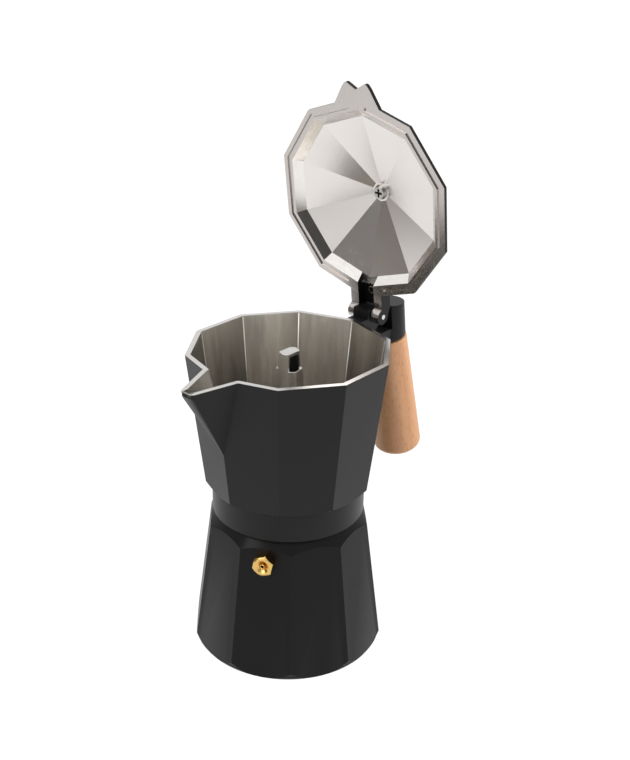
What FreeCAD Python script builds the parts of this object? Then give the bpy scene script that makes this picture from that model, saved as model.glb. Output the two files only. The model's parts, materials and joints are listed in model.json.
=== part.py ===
import FreeCAD, Part
import math
import os

from FreeCAD import Placement, Rotation, Vector

# Stovetop moka pot, lid open. Millimetres, +Z up, origin at the centre of the
# base on the resting plane. The handle and hinge lie along +X, the spout along -X.

# Boiler
facet_count = 10
boiler_radius = 52.0
boiler_draft = 0.137
boiler_turn = 8.0
shoulder_z = 70.0
boiler_wall = 3.0
boiler_floor = 3.5
foot_trim = 1.6
foot_round = 3.6
base_recess_inset = 11.0
base_recess_depth = 0.8
neck_wall = 2.8
neck_height = 7.6

# Waist
waist_step = 12.7
skirt_wall = 2.9
skirt_gap = 0.6
thread_clearance = 1.4
waist_rise = 2.0
foot_flare = 3.2

# Faceted body of the collector
rim_inset = 0.4
body_draft = 0.1225
body_height = 69.8
collector_wall = 2.6

# Funnel and seals
sheet = 0.8
funnel_clearance = 0.3
flange_thickness = 1.0
basket_depth = 27.0
cone_depth = 12.0
stem_radius = 4.6
stem_wall = 0.8
stem_foot_gap = 4.5
stem_collar = 6.0
screen_thickness = 0.8
screen_hole = 1.6
screen_rings = 3
plate_hole = 1.5
plate_rings = 3
gasket_thickness = 3.0
gasket_width = 7.5
plate_thickness = 0.8
plate_rise = 1.4
plate_lap = 3.1
seat_clearance = 0.2

# Column and floor of the collector
floor_thickness = 4.5
floor_rise = 7.5
column_sides = 6
column_turn = 11.0
column_top_gap = 2.0
column_top_radius = 5.8
column_foot_radius = 10.6
column_foot_ring = 0.4
column_spigot = 8.0
column_spigot_length = 3.5
column_top_bore = 4.6
column_foot_bore = 6.3
column_cap = 1.8
column_flat = 3.2
window_height = 7.2

# Spout
spout_root = 0.62
spout_length = 17.7
spout_half_width = 4.0
spout_drop = 1.4
spout_beak = 2.4
spout_height = 42.0
spout_wall = 2.2
lip_cut = 1.4

# Safety valve
valve_drop = 5.0
valve_flats = 9.6
valve_head = 5.5
valve_spin = 15.0
valve_shank_radius = 4.0
valve_shank = 6.5
valve_bore = 3.0
valve_mouth = 1.35
valve_front_wall = 1.3
valve_cone = 3.3
valve_cone_depth = 1.5
valve_boss_radius = 6.5
valve_seat_length = 1.5
valve_seat_bore = 1.5
plunger_disc_radius = 2.4
plunger_disc = 1.0
plunger_stem_radius = 1.0
plunger_drill = 0.5
plunger_reach = 5.2
spring_turns = 5
spring_radius = 1.75
spring_wire = 0.25
fit_clearance = 0.05

# Lid
lid_overhang = 1.2
lid_gap = 0.2
lid_edge = 2.0
lid_shelf = 2.5
lid_skin = 2.0
lid_flange = 6.0
lid_bevel = 4.0
lid_recess = 4.2
lid_dome = 12.0
lid_flat_radius = 5.0
lid_seat_radius = 7.0
seat_rise = 1.2
groove_inset = 2.4
groove_width = 2.0
groove_depth = 0.8
groove_break = 5.5
tab_half_base = 13.7
tab_half_tip = 6.1
tab_reach = 7.2
tab_notch = 3.4
tab_thickness = 2.2
tab_round = 1.6
open_angle = 82.3

# Hinge
hinge_reach = 10.4
hinge_rise = 1.0
pin_radius = 1.3
pin_end = 0.4
ear_radius = 4.3
ear_width = 4.9
lug_half_width = 4.8
ear_clearance = 0.3
lug_reach = 4.2
lug_rise = 4.9
lug_back = 5.5
tongue_thickness = 2.3
tongue_clearance = 0.3
stop_gap = 0.25
slot_point = 16.0
slot_shoulder = 12.0

# Knob
knob_radius = 10.5
knob_height = 21.0
knob_foot_radius = 6.8
knob_screw_radius = 2.0
knob_head_radius = 3.9
knob_head = 1.8
knob_washer = 0.4
knob_washer_radius = 4.3
insert_wall = 1.2
insert_length = 10.0

# Handle
handle_reach = 17.6
handle_drop = 16.6
handle_tilt = 12.0
grip_top_radius = 10.8
grip_bottom_radius = 13.6
grip_length = 74.0
grip_round = 4.0
grip_top_round = 0.8
bracket_rise = 3.0
bracket_top_radius = 8.7
bracket_foot_radius = 10.4
bracket_flat = 5.8
bracket_step = 9.7
bracket_collar_radius = 8.6
bracket_shadow = 0.9
arm_half_width = 7.5
arm_depth = 9.8
fork_half_width = 3.0
fork_clearance = 0.1
fork_reach = 4.0
bracket_screw_back = 2.0
bracket_screw_radius = 1.9
bracket_head_radius = 3.5
bracket_head = 2.4
bracket_thread_stop = 2.0
bolt_radius = 2.4
bolt_head_radius = 4.2
bolt_head = 3.2
bolt_recess_radius = 5.8
bolt_recess = 7.0
washer_radius = 5.4
washer_thickness = 1.2

# Values that follow from the sizes above: radii of the stack
half_facet = math.pi / facet_count
flat_ratio = math.cos(half_facet)
foot_radius = boiler_radius - foot_trim
base_recess_radius = foot_radius - foot_round - base_recess_inset
skirt_radius = boiler_radius - waist_step
skirt_bore = skirt_radius - skirt_wall
neck_radius = skirt_bore - thread_clearance
neck_bore = neck_radius - neck_wall
gasket_bore = neck_radius - gasket_width
plate_step_radius = gasket_bore + plate_lap
rim_radius = boiler_radius - rim_inset
lid_radius = rim_radius + lid_overhang
spout_reach = rim_radius + spout_length

# Heights of the stack
neck_foot_z = shoulder_z + boiler_radius - boiler_draft * shoulder_z - neck_radius
valve_z = shoulder_z - valve_drop
skirt_bottom_z = neck_foot_z - skirt_gap
neck_top_z = neck_foot_z + neck_height
seal_z = neck_top_z + flange_thickness
seat_z = seal_z + gasket_thickness
floor_z = seat_z + floor_thickness
waist_z = seat_z + waist_rise
collector_foot_z = waist_z + foot_flare
rim_z = collector_foot_z + body_height
spout_keel_z = rim_z - spout_height
column_top_z = rim_z - column_top_gap
column_foot_z = floor_z + floor_rise
screen_z = seal_z - basket_depth
stem_top_z = screen_z - cone_depth
stem_foot_z = boiler_floor + stem_foot_gap
valve_angle = math.radians(boiler_turn - 4.5 * 360.0 / facet_count)

# Hinge
hinge_x = rim_radius + hinge_reach
hinge_z = rim_z + hinge_rise
lug_front_x = rim_radius + lug_reach
lug_top_z = rim_z + lug_rise
lid_z = rim_z + lid_gap
lid_pan_z = lid_z + lid_recess + lid_dome
knob_z = lid_pan_z + lid_skin + seat_rise
ear_inner = lug_half_width + ear_clearance
ear_outer = ear_inner + ear_width
tongue_z = lug_top_z + tongue_clearance
lug_over_pin = lug_top_z - hinge_z
tongue_over_pin = tongue_z - hinge_z
open_rad = math.radians(open_angle)
tongue_end = (lug_over_pin + stop_gap - tongue_over_pin * math.cos(open_rad)) / math.sin(open_rad)

# Handle
handle_x = hinge_x + handle_reach
handle_z = rim_z - handle_drop
bracket_top_z = rim_z + bracket_rise
bracket_flat_x = handle_x - bracket_flat
bracket_step_z = rim_z - bracket_step
arm_foot_z = bracket_step_z - arm_depth
arm_inner_x = rim_radius
fork_end_x = hinge_x + fork_reach
bracket_screw_x = hinge_x - bracket_screw_back
bracket_screw_z = (arm_foot_z + bracket_step_z) / 2.0 - 0.1


def outer_radius(z):
    return rim_radius - body_draft * (rim_z - z)


def boiler_outer(z):
    return boiler_radius - boiler_draft * z


def prism_wire(radius, z, turn=0.0, sides=facet_count):
    points = []
    for k in range(sides + 1):
        a = math.radians(turn) + 2.0 * math.pi * k / sides
        points.append(Vector(radius * math.cos(a), radius * math.sin(a), z))
    return Part.makePolygon(points)


def frustum(r0, z0, r1, z1, turn=0.0, sides=facet_count):
    wires = [prism_wire(r0, z0, turn, sides), prism_wire(r1, z1, turn, sides)]
    return Part.makeLoft(wires, True, True)


def turned(points):
    wire = Part.makePolygon([Vector(r, 0, z) for r, z in points + points[:1]])
    return Part.Face(wire).revolve(Vector(0, 0, 0), Vector(0, 0, 1), 360)


def cylinder(radius, z0, z1):
    return Part.makeCylinder(radius, z1 - z0, Vector(0, 0, z0))


def cross_cylinder(radius, y0, y1, x, z):
    return Part.makeCylinder(radius, y1 - y0, Vector(x, y0, z), Vector(0, 1, 0))


def block(x0, x1, half_y, z0, z1):
    return Part.makeBox(x1 - x0, 2.0 * half_y, z1 - z0, Vector(x0, -half_y, z0))


def side_plate(outline, half_y):
    wire = Part.makePolygon([Vector(x, -half_y, z) for x, z in outline + outline[:1]])
    return Part.Face(wire).extrude(Vector(0, 2.0 * half_y, 0))


def polyhedron(faces):
    shell = Part.Shell([Part.Face(Part.makePolygon(f + f[:1])) for f in faces])
    solid = Part.Solid(shell)
    if solid.Volume < 0:
        solid.reverse()
    return solid


def hole_pattern(pitch, rings, hole, z0, z1):
    tools = [cylinder(hole / 2.0, z0, z1)]
    for ring in range(1, rings + 1):
        for k in range(6 * ring):
            a = 2.0 * math.pi * k / (6 * ring)
            tool = cylinder(hole / 2.0, z0, z1)
            tool.translate(Vector(pitch * ring * math.cos(a), pitch * ring * math.sin(a), 0))
            tools.append(tool)
    return tools


def one_solid(shape):
    clean = shape.removeSplitter()
    solids = clean.Solids
    assert len(solids) == 1, "piece has %d solids" % len(solids)
    return solids[0]


def valve_placement():
    slope = math.atan(boiler_draft * flat_ratio)
    apothem = boiler_outer(valve_z) * flat_ratio
    c = math.cos(valve_angle)
    s = math.sin(valve_angle)
    normal = Vector(c * math.cos(slope), s * math.cos(slope), math.sin(slope))
    seat = Vector(apothem * c, apothem * s, valve_z)
    turn = Rotation(Vector(0, 0, 1), normal)
    return Placement(seat, turn.multiply(Rotation(Vector(0, 0, 1), valve_spin)))


def boiler():
    top = neck_foot_z
    facets = frustum(boiler_outer(0), 0, boiler_outer(top), top, boiler_turn)
    flat = foot_radius - foot_round
    corner = foot_round * math.sqrt(0.5)
    belly_z = foot_round + 2.0 * foot_round
    belly = boiler_radius + foot_trim
    shoulder = top + neck_radius - belly
    edges = [
        Part.LineSegment(Vector(0, 0, 0), Vector(flat, 0, 0)).toShape(),
        Part.Arc(
            Vector(flat, 0, 0),
            Vector(flat + corner, 0, foot_round - corner),
            Vector(foot_radius, 0, foot_round),
        ).toShape(),
        Part.LineSegment(Vector(foot_radius, 0, foot_round), Vector(belly, 0, belly_z)).toShape(),
        Part.LineSegment(Vector(belly, 0, belly_z), Vector(belly, 0, shoulder)).toShape(),
        Part.LineSegment(Vector(belly, 0, shoulder), Vector(neck_radius, 0, top)).toShape(),
        Part.LineSegment(Vector(neck_radius, 0, top), Vector(0, 0, top)).toShape(),
        Part.LineSegment(Vector(0, 0, top), Vector(0, 0, 0)).toShape(),
    ]
    lathe = Part.Face(Part.Wire(edges)).revolve(Vector(0, 0, 0), Vector(0, 0, 1), 360)
    body = facets.common(lathe)
    body = body.fuse(cylinder(neck_radius, top - boiler_wall, neck_top_z))
    low = boiler_outer(boiler_floor) * flat_ratio - boiler_wall
    high_z = shoulder_z - boiler_wall
    high = boiler_outer(high_z) * flat_ratio - boiler_wall
    throat_z = high_z + (high - neck_bore) * 1.2
    cavity = turned([
        (0, boiler_floor),
        (low - boiler_wall, boiler_floor),
        (low, boiler_floor + boiler_wall),
        (high, high_z),
        (neck_bore, throat_z),
        (neck_bore, neck_top_z + 1),
        (0, neck_top_z + 1),
    ])
    boss = Part.makeCylinder(valve_boss_radius, valve_shank, Vector(0, 0, -valve_shank))
    boss.Placement = valve_placement()
    body = body.cut(cavity)
    body = body.fuse(boss.common(cavity))
    hole = Part.makeCylinder(valve_shank_radius + fit_clearance, 3 * valve_shank, Vector(0, 0, -2 * valve_shank))
    hole.Placement = valve_placement()
    body = body.cut(hole)
    return one_solid(body.cut(cylinder(base_recess_radius, -1, base_recess_depth)))


def valve_body():
    points = []
    for k in range(7):
        a = math.pi / 3.0 * k
        r = valve_flats / math.sqrt(3.0)
        points.append(Vector(r * math.cos(a), r * math.sin(a), 0))
    head = Part.Face(Part.makePolygon(points)).extrude(Vector(0, 0, valve_head))
    corner = valve_flats / math.sqrt(3.0)
    crown = turned([
        (0, 0),
        (corner, 0),
        (corner, valve_head - (corner - valve_flats / 2.0) - 0.3),
        (valve_flats / 2.0 - 0.5, valve_head),
        (0, valve_head),
    ])
    body = head.common(crown)
    body = body.fuse(cylinder(valve_shank_radius, -valve_shank, 0))
    inner_end = valve_head - valve_cone_depth - valve_front_wall
    body = body.cut(cylinder(valve_bore, -valve_shank, inner_end))
    body = body.cut(cylinder(valve_mouth, 0, valve_head))
    body = body.cut(turned([
        (0, valve_head - valve_cone_depth),
        (valve_mouth, valve_head - valve_cone_depth),
        (valve_cone, valve_head),
        (0, valve_head),
    ]))
    return one_solid(body)


def valve_seat():
    ring = cylinder(valve_bore, -valve_shank, valve_seat_length - valve_shank)
    return ring.cut(cylinder(valve_seat_bore, -valve_shank, valve_seat_length - valve_shank))


def valve_plunger():
    foot = valve_seat_length - valve_shank
    body = cylinder(plunger_disc_radius, foot, foot + plunger_disc)
    body = body.fuse(cylinder(plunger_stem_radius, foot, plunger_reach))
    return one_solid(body.cut(cylinder(plunger_drill, plunger_reach - 1.5, plunger_reach)))


def arc_middle(start, tangent, end):
    chord = end - start
    half = chord.Length / 2.0
    angle = math.acos(max(-1.0, min(1.0, chord.dot(tangent) / chord.Length)))
    apex = start + tangent * (half / math.cos(angle))
    middle = (start + end) * 0.5
    return middle + (apex - middle) * (math.tan(angle / 2.0) / math.tan(angle))


def valve_spring():
    low = valve_seat_length - valve_shank + plunger_disc + spring_wire + fit_clearance
    high = valve_head - valve_cone_depth - valve_front_wall - spring_wire - fit_clearance
    steps = 4 * spring_turns
    climb = (high - low) / (2.0 * math.pi * spring_turns)

    def point(a):
        return Vector(spring_radius * math.cos(a), spring_radius * math.sin(a), low + climb * a)

    def tangent(a):
        t = Vector(-spring_radius * math.sin(a), spring_radius * math.cos(a), climb)
        return t.normalize()

    edges = []
    for k in range(steps):
        a0 = math.pi / 2.0 * k
        a1 = a0 + math.pi / 2.0
        p0, p1, t0, t1 = point(a0), point(a1), tangent(a0), tangent(a1)
        v = p1 - p0
        vt = v.dot(t0 + t1)
        q = 2.0 * (1.0 - t0.dot(t1))
        d = (-vt + math.sqrt(vt * vt + q * v.dot(v))) / q
        joint = (p0 + p1 + (t0 - t1) * d) * 0.5
        edges.append(Part.Arc(p0, arc_middle(p0, t0, joint), joint).toShape())
        edges.append(Part.Arc(joint, arc_middle(p1, t1 * -1.0, joint), p1).toShape())
    path = Part.Wire(edges)
    section = Part.Wire([Part.Circle(point(0), tangent(0), spring_wire).toShape()])
    coil = path.makePipeShell([section], True, False)
    ideal = math.pi * spring_wire ** 2 * path.Length
    gap = (high - low) / spring_turns - 2.0 * spring_wire
    print("valve spring: volume ratio %.4f, gap between turns %.2f" % (coil.Volume / ideal, gap))
    return coil


def funnel_basket():
    wall = neck_bore - funnel_clearance
    inner = wall - sheet
    ledge = inner - 1.4
    collar = stem_radius + fit_clearance
    return turned([
        (inner, seal_z),
        (neck_radius, seal_z),
        (neck_radius, neck_top_z),
        (wall, neck_top_z),
        (wall, screen_z - 0.4),
        (collar + sheet, stem_top_z),
        (collar + sheet, stem_top_z - stem_collar),
        (collar, stem_top_z - stem_collar),
        (collar, stem_top_z + 0.6),
        (ledge, screen_z),
        (inner, screen_z),
    ])


def funnel_stem():
    top = stem_top_z + 0.6
    tube = cylinder(stem_radius, stem_foot_z, top)
    return tube.cut(cylinder(stem_radius - stem_wall, stem_foot_z, top))


def funnel_screen():
    radius = neck_bore - funnel_clearance - sheet - fit_clearance
    disc = cylinder(radius, screen_z, screen_z + screen_thickness)
    pitch = (radius - 4.0) / screen_rings
    tools = hole_pattern(pitch, screen_rings, screen_hole, screen_z - 1, screen_z + screen_thickness + 1)
    return one_solid(disc.cut(tools))


def gasket():
    outer = neck_radius
    step_z = seat_z - plate_thickness
    step = plate_step_radius + seat_clearance
    return turned([
        (gasket_bore, seal_z),
        (outer, seal_z),
        (outer, seat_z),
        (step, seat_z),
        (step, step_z),
        (gasket_bore, step_z),
    ])


def filter_plate():
    low = seat_z - plate_thickness
    dish = gasket_bore - 1.5
    crown = dish - 2.5
    plate = turned([
        (0, low + plate_rise),
        (crown, low + plate_rise),
        (dish, low),
        (plate_step_radius, low),
        (plate_step_radius, seat_z),
        (dish, seat_z),
        (crown, seat_z + plate_rise),
        (0, seat_z + plate_rise),
    ])
    pitch = (crown - 3.0) / plate_rings
    return one_solid(plate.cut(hole_pattern(pitch, plate_rings, plate_hole, low, seat_z + 2 * plate_rise)))


def spout_points():
    a = 2.0 * half_facet
    side = Vector(-rim_radius * math.cos(a), -rim_radius * math.sin(a), rim_z)
    front = Vector(-rim_radius, 0, rim_z)
    root = side + (front - side) * spout_root
    tip = Vector(-spout_reach, -spout_half_width, rim_z - spout_drop)
    chin = Vector(-spout_reach + 0.5, -spout_half_width, rim_z - spout_drop - spout_beak)
    keel = Vector(-outer_radius(spout_keel_z), 0, spout_keel_z)
    return root, tip, chin, keel


def mirrored(v):
    return Vector(v.x, -v.y, v.z)


def spout_outer():
    root, tip, chin, keel = spout_points()
    root2, tip2, chin2 = mirrored(root), mirrored(tip), mirrored(chin)
    return polyhedron([
        [root, tip, tip2, root2],
        [root, chin, tip],
        [root2, tip2, chin2],
        [root, keel, chin],
        [root2, chin2, keel],
        [tip, chin, chin2, tip2],
        [chin, keel, chin2],
        [root, root2, keel],
    ])


def spout_channel():
    root, tip, chin, keel = spout_points()
    along = Vector(tip.x - root.x, tip.y - root.y, 0).normalize()
    inward = Vector(-along.y, along.x, 0)
    if inward.y < 0:
        inward = inward * -1.0
    lift = Vector(0, 0, 1.0)
    back = root + inward * spout_wall - along * 4.0
    back.z = rim_z
    front = tip + inward * spout_wall - along * spout_wall
    front.z = rim_z - spout_drop
    deep = Vector(keel.x + 2.0 * spout_wall, 0, keel.z + 2.0 * spout_wall)
    a, b = back + lift, front + lift
    a2, b2 = mirrored(a), mirrored(b)
    wedge = polyhedron([
        [a, b, b2, a2],
        [a, deep, b],
        [a2, b2, deep],
        [b, deep, b2],
        [a, a2, deep],
    ])
    top = rim_z - spout_drop
    lip = block(tip.x - 2.0, front.x + 1.0, -front.y, top - lip_cut, rim_z + 1.0)
    return [wedge, lip]


def column():
    post = frustum(
        column_foot_radius, column_foot_z, column_top_radius, column_top_z, column_turn, column_sides
    )
    spigot_z = column_foot_z - column_spigot_length
    post = post.fuse(cylinder(column_spigot, spigot_z, column_foot_z))
    cap_z = column_top_z - column_cap
    ledge_z = cap_z - window_height
    for sign in (-1, 1):
        flat = block(-column_foot_radius, column_foot_radius, column_foot_radius, ledge_z, column_top_z + 1)
        flat.translate(Vector(0, sign * (column_flat + column_foot_radius), 0))
        post = post.cut(flat)
    bore = Part.makeCone(column_foot_bore, column_top_bore, cap_z - spigot_z, Vector(0, 0, spigot_z))
    return one_solid(post.cut(bore))


def lug():
    back = hinge_x + lug_back
    root = outer_radius(rim_z) - collector_wall / 2.0
    plate = side_plate([
        (root, arm_foot_z + 1.0),
        (root, rim_z - 0.1),
        (lug_front_x, rim_z - 0.1),
        (lug_front_x, lug_top_z),
        (back, lug_top_z),
        (back, hinge_z - ear_radius),
        (fork_end_x - 4.0, bracket_step_z + 0.3),
        (root, bracket_step_z + 0.3),
    ][1:], lug_half_width)
    tongue = side_plate([
        (outer_radius(arm_foot_z) - 1.5, arm_foot_z - 5.0),
        (outer_radius(bracket_step_z) - 1.5, bracket_step_z + 0.4),
        (fork_end_x, bracket_step_z + 0.4),
        (fork_end_x, arm_foot_z + 2.0),
    ], fork_half_width)
    return plate.fuse(tongue)


def collector():
    low = seat_z + 0.2
    facets = frustum(outer_radius(low), low, rim_radius, rim_z)
    wide = 2.0 * rim_radius
    lathe = turned([
        (0, seat_z),
        (skirt_radius, seat_z),
        (skirt_radius, waist_z),
        (outer_radius(collector_foot_z) + 0.6, collector_foot_z),
        (wide, collector_foot_z),
        (wide, rim_z + 1),
        (0, rim_z + 1),
    ])
    body = facets.common(lathe)
    skirt = cylinder(skirt_radius, skirt_bottom_z, waist_z)
    body = body.fuse([skirt, spout_outer(), lug()])
    drop = collector_wall / flat_ratio
    top = rim_z + 2.0
    cavity = frustum(outer_radius(floor_z) - drop, floor_z, outer_radius(top) - drop, top)
    island = turned([
        (0, floor_z - 1.0),
        (outer_radius(floor_z) * flat_ratio - collector_wall - 2.0, floor_z - 1.0),
        (outer_radius(floor_z) * flat_ratio - collector_wall - 2.0, floor_z),
        (column_foot_radius + column_foot_ring, column_foot_z),
        (0, column_foot_z),
    ])
    body = body.cut(cavity.cut(island))
    body = body.cut(spout_channel())
    body = body.cut(cylinder(skirt_bore, skirt_bottom_z - 1, seat_z))
    mouth = gasket_bore - 1.0
    body = body.cut(turned([
        (0, seat_z - 1),
        (mouth, seat_z - 1),
        (mouth, seat_z + 2.2),
        (column_spigot, column_foot_z - column_spigot_length),
        (column_spigot, column_foot_z + 1),
        (0, column_foot_z + 1),
    ]))
    hole = cross_cylinder(pin_radius, -lug_half_width - 1, lug_half_width + 1, hinge_x, hinge_z)
    screw = cross_cylinder(
        bracket_screw_radius, -arm_half_width, arm_half_width, bracket_screw_x, bracket_screw_z
    )
    return one_solid(body.cut([hole, screw]))


def bracket_frame(shape):
    shape.Placement = Placement(
        Vector(handle_x, 0, handle_z), Rotation(Vector(0, 1, 0), -handle_tilt)
    )
    return shape


def handle_bracket():
    height = bracket_top_z - handle_z + 6.0
    slope = (bracket_foot_radius - bracket_top_radius) / (bracket_top_z - handle_z)
    post = Part.makeCone(
        bracket_foot_radius + 6.0 * slope, bracket_top_radius, height, Vector(handle_x, 0, handle_z - 6.0)
    )
    arm = block(arm_inner_x, handle_x, arm_half_width, arm_foot_z, bracket_step_z)
    body = post.fuse(arm)
    body = body.cut(block(arm_inner_x - 5, bracket_flat_x, 30, bracket_step_z, bracket_top_z + 5))
    under = Part.makeBox(60, 60, 40, Vector(-arm_half_width - 6.0, -30, bracket_shadow - 40))
    body = body.cut(bracket_frame(under))
    collar = bracket_frame(cylinder(bracket_collar_radius, 0, 2.0 * bracket_shadow))
    body = body.fuse(collar)
    slot = block(arm_inner_x - 5, fork_end_x + fork_clearance, fork_half_width + fork_clearance,
                 arm_foot_z - 9, bracket_step_z + 1)
    corner = block(arm_inner_x - 20, hinge_x + lug_back + 0.5, lug_half_width + fork_clearance,
                   bracket_step_z + 0.2, lug_top_z)
    body = body.cut([slot, corner])
    shank = cross_cylinder(
        bracket_screw_radius, bracket_thread_stop - arm_half_width, arm_half_width,
        bracket_screw_x, bracket_screw_z
    )
    sink = cross_cylinder(
        bracket_head_radius + fork_clearance, arm_half_width - bracket_head, arm_half_width + 1,
        bracket_screw_x, bracket_screw_z
    )
    socket = bracket_frame(cylinder(bolt_radius + insert_wall, -1, insert_length))
    drill = bracket_frame(cylinder(bolt_radius, 0, insert_length + 2.0))
    return one_solid(body.cut([shank, sink, socket, drill]))


def bracket_screw():
    shank = cross_cylinder(
        bracket_screw_radius, bracket_thread_stop - arm_half_width, arm_half_width - bracket_head,
        bracket_screw_x, bracket_screw_z
    )
    head = cross_cylinder(
        bracket_head_radius, arm_half_width - bracket_head, arm_half_width, bracket_screw_x, bracket_screw_z
    )
    slot = Part.makeBox(
        2 * bracket_head_radius + 2, 1.2, 1.0,
        Vector(bracket_screw_x - bracket_head_radius - 1, arm_half_width - 1.2, bracket_screw_z - 0.5)
    )
    return one_solid(shank.fuse(head).cut(slot))


def bracket_insert():
    ring = cylinder(bolt_radius + insert_wall, 0, insert_length)
    return bracket_frame(ring.cut(cylinder(bolt_radius, 0, insert_length)))


def handle_grip():
    body = Part.makeCone(grip_bottom_radius, grip_top_radius, grip_length, Vector(0, 0, -grip_length))
    low = [e for e in body.Edges if e.BoundBox.ZMax < 1e-6 - grip_length]
    high = [e for e in body.Edges if e.BoundBox.ZMin > -1e-6]
    body = body.makeFillet(grip_round, low)
    high = [e for e in body.Edges if e.BoundBox.ZMin > -1e-6]
    body = body.makeFillet(grip_top_round, high)
    body = body.cut(cylinder(bolt_radius + fit_clearance, -grip_length, 1))
    body = body.cut(cylinder(bolt_recess_radius, -grip_length - 1, bolt_recess - grip_length))
    return bracket_frame(one_solid(body))


def grip_washer():
    z0 = bolt_recess - grip_length - washer_thickness
    ring = cylinder(washer_radius, z0, z0 + washer_thickness)
    return bracket_frame(ring.cut(cylinder(bolt_radius + fit_clearance, z0, z0 + washer_thickness)))


def grip_bolt():
    z0 = bolt_recess - grip_length - washer_thickness
    body = cylinder(bolt_radius, z0, insert_length - 1.0)
    head = cylinder(bolt_head_radius, z0 - bolt_head, z0)
    body = body.fuse(head)
    slot = Part.makeBox(
        2 * bolt_head_radius + 2, 1.2, 1.4, Vector(-bolt_head_radius - 1, -0.6, z0 - bolt_head)
    )
    return bracket_frame(one_solid(body.cut(slot)))


def hinge_pin():
    reach = ear_outer + pin_end
    return cross_cylinder(pin_radius, -reach, reach, hinge_x, hinge_z)


def opened(shape):
    shape.rotate(Vector(hinge_x, 0, hinge_z), Vector(0, 1, 0), open_angle)
    return shape


def tab():
    c = math.cos(half_facet * 2.0)
    slope = math.tan(half_facet)
    base_x = -(lid_radius - tab_half_base * slope)
    tip_x = -(lid_radius + tab_reach)
    notch_x = tip_x + tab_notch
    outline = [
        (base_x + 8.0 * c, -tab_half_base),
        (base_x, -tab_half_base),
        (tip_x + 2.6, -tab_half_tip - 2.2),
        (tip_x, -tab_half_tip),
        (notch_x, 0),
        (tip_x, tab_half_tip),
        (tip_x + 2.6, tab_half_tip + 2.2),
        (base_x, tab_half_base),
        (base_x + 8.0 * c, tab_half_base),
    ]
    wire = Part.makePolygon([Vector(x, y, lid_z) for x, y in outline + outline[:1]])
    plate = Part.Face(wire).extrude(Vector(0, 0, tab_thickness))
    tips = []
    for edge in plate.Edges:
        box = edge.BoundBox
        if box.ZLength > tab_thickness - 0.01 and box.XMax < tip_x + 0.01:
            tips.append(edge)
    return plate.makeFillet(tab_round, tips)


def knuckle():
    top = tongue_z + tongue_thickness
    start = lid_radius - lid_flange
    plate = side_plate([
        (start, lid_z),
        (hinge_x, lid_z),
        (hinge_x, hinge_z + ear_radius),
        (hinge_x - tongue_end, top),
        (start, top),
    ], ear_outer)
    plate = plate.fuse(cross_cylinder(ear_radius, -ear_outer, ear_outer, hinge_x, hinge_z))
    return plate


def hinge_cuts():
    far = hinge_x + 2 * ear_radius
    outline = [
        (hinge_x - slot_point, 0),
        (hinge_x - slot_shoulder, -ear_inner),
        (far, -ear_inner),
        (far, ear_inner),
        (hinge_x - slot_shoulder, ear_inner),
    ]
    wire = Part.makePolygon([Vector(x, y, lid_z - 10) for x, y in outline + outline[:1]])
    slot = Part.Face(wire).extrude(Vector(0, 0, tongue_z - lid_z + 10))
    nose = block(hinge_x - tongue_end, far, ear_inner, lid_z - 10, tongue_z + 10)
    hole = cross_cylinder(
        pin_radius + fit_clearance, -ear_outer - 1, ear_outer + 1, hinge_x, hinge_z
    )
    pan_edge = (lid_radius - lid_flange - lid_bevel) * flat_ratio
    pocket = block(pan_edge, hinge_x - slot_shoulder + 1, ear_inner, lid_z - 1, lid_z + lid_recess)
    return [slot, nose, hole, pocket]


def rim_groove():
    outer = lid_radius - groove_inset
    low = lid_z - 1
    top = lid_z + groove_depth
    band = frustum(outer, low, outer, top)
    band = band.cut(frustum(outer - groove_width, low - 1, outer - groove_width, top + 1))
    hinge_break = ear_outer + 2.0
    band = band.cut(block(-2 * lid_radius, 0, groove_break, low - 1, top + 1))
    band = band.cut(block(0, 2 * lid_radius, hinge_break, low - 1, top + 1))
    middle = outer - groove_width / 2.0
    ends = []
    for side, reach in ((-1, groove_break), (1, hinge_break)):
        for sign in (-1, 1):
            end = cylinder(groove_width * flat_ratio / 2.0, low, top)
            end.translate(Vector(side * (middle - reach * math.tan(half_facet)), sign * reach, 0))
            ends.append(end)
    return band.fuse(ends)


def lid():
    edge_z = lid_z + lid_edge
    inner_z = lid_z + lid_recess
    bevel_radius = lid_radius - lid_flange
    pan_radius = bevel_radius - lid_bevel
    pan_z = lid_pan_z
    crown_z = knob_z
    brow = pan_radius + lid_skin * 0.6
    brow_z = inner_z + lid_skin
    body = frustum(lid_radius, lid_z, lid_radius, edge_z)
    body = body.fuse([
        frustum(lid_radius - lid_shelf, edge_z, brow, brow_z),
        frustum(brow, brow_z, lid_seat_radius, crown_z),
        tab(),
        knuckle(),
    ])
    recess = frustum(bevel_radius + lid_bevel / lid_recess, lid_z - lid_bevel / lid_recess, pan_radius, inner_z)
    pan = frustum(pan_radius, inner_z, lid_flat_radius, pan_z)
    body = body.cut(recess.fuse(pan))
    body = body.cut(hinge_cuts() + [rim_groove()])
    body = body.cut(cylinder(knob_screw_radius + fit_clearance, lid_z, crown_z + 1))
    return one_solid(body)


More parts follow.
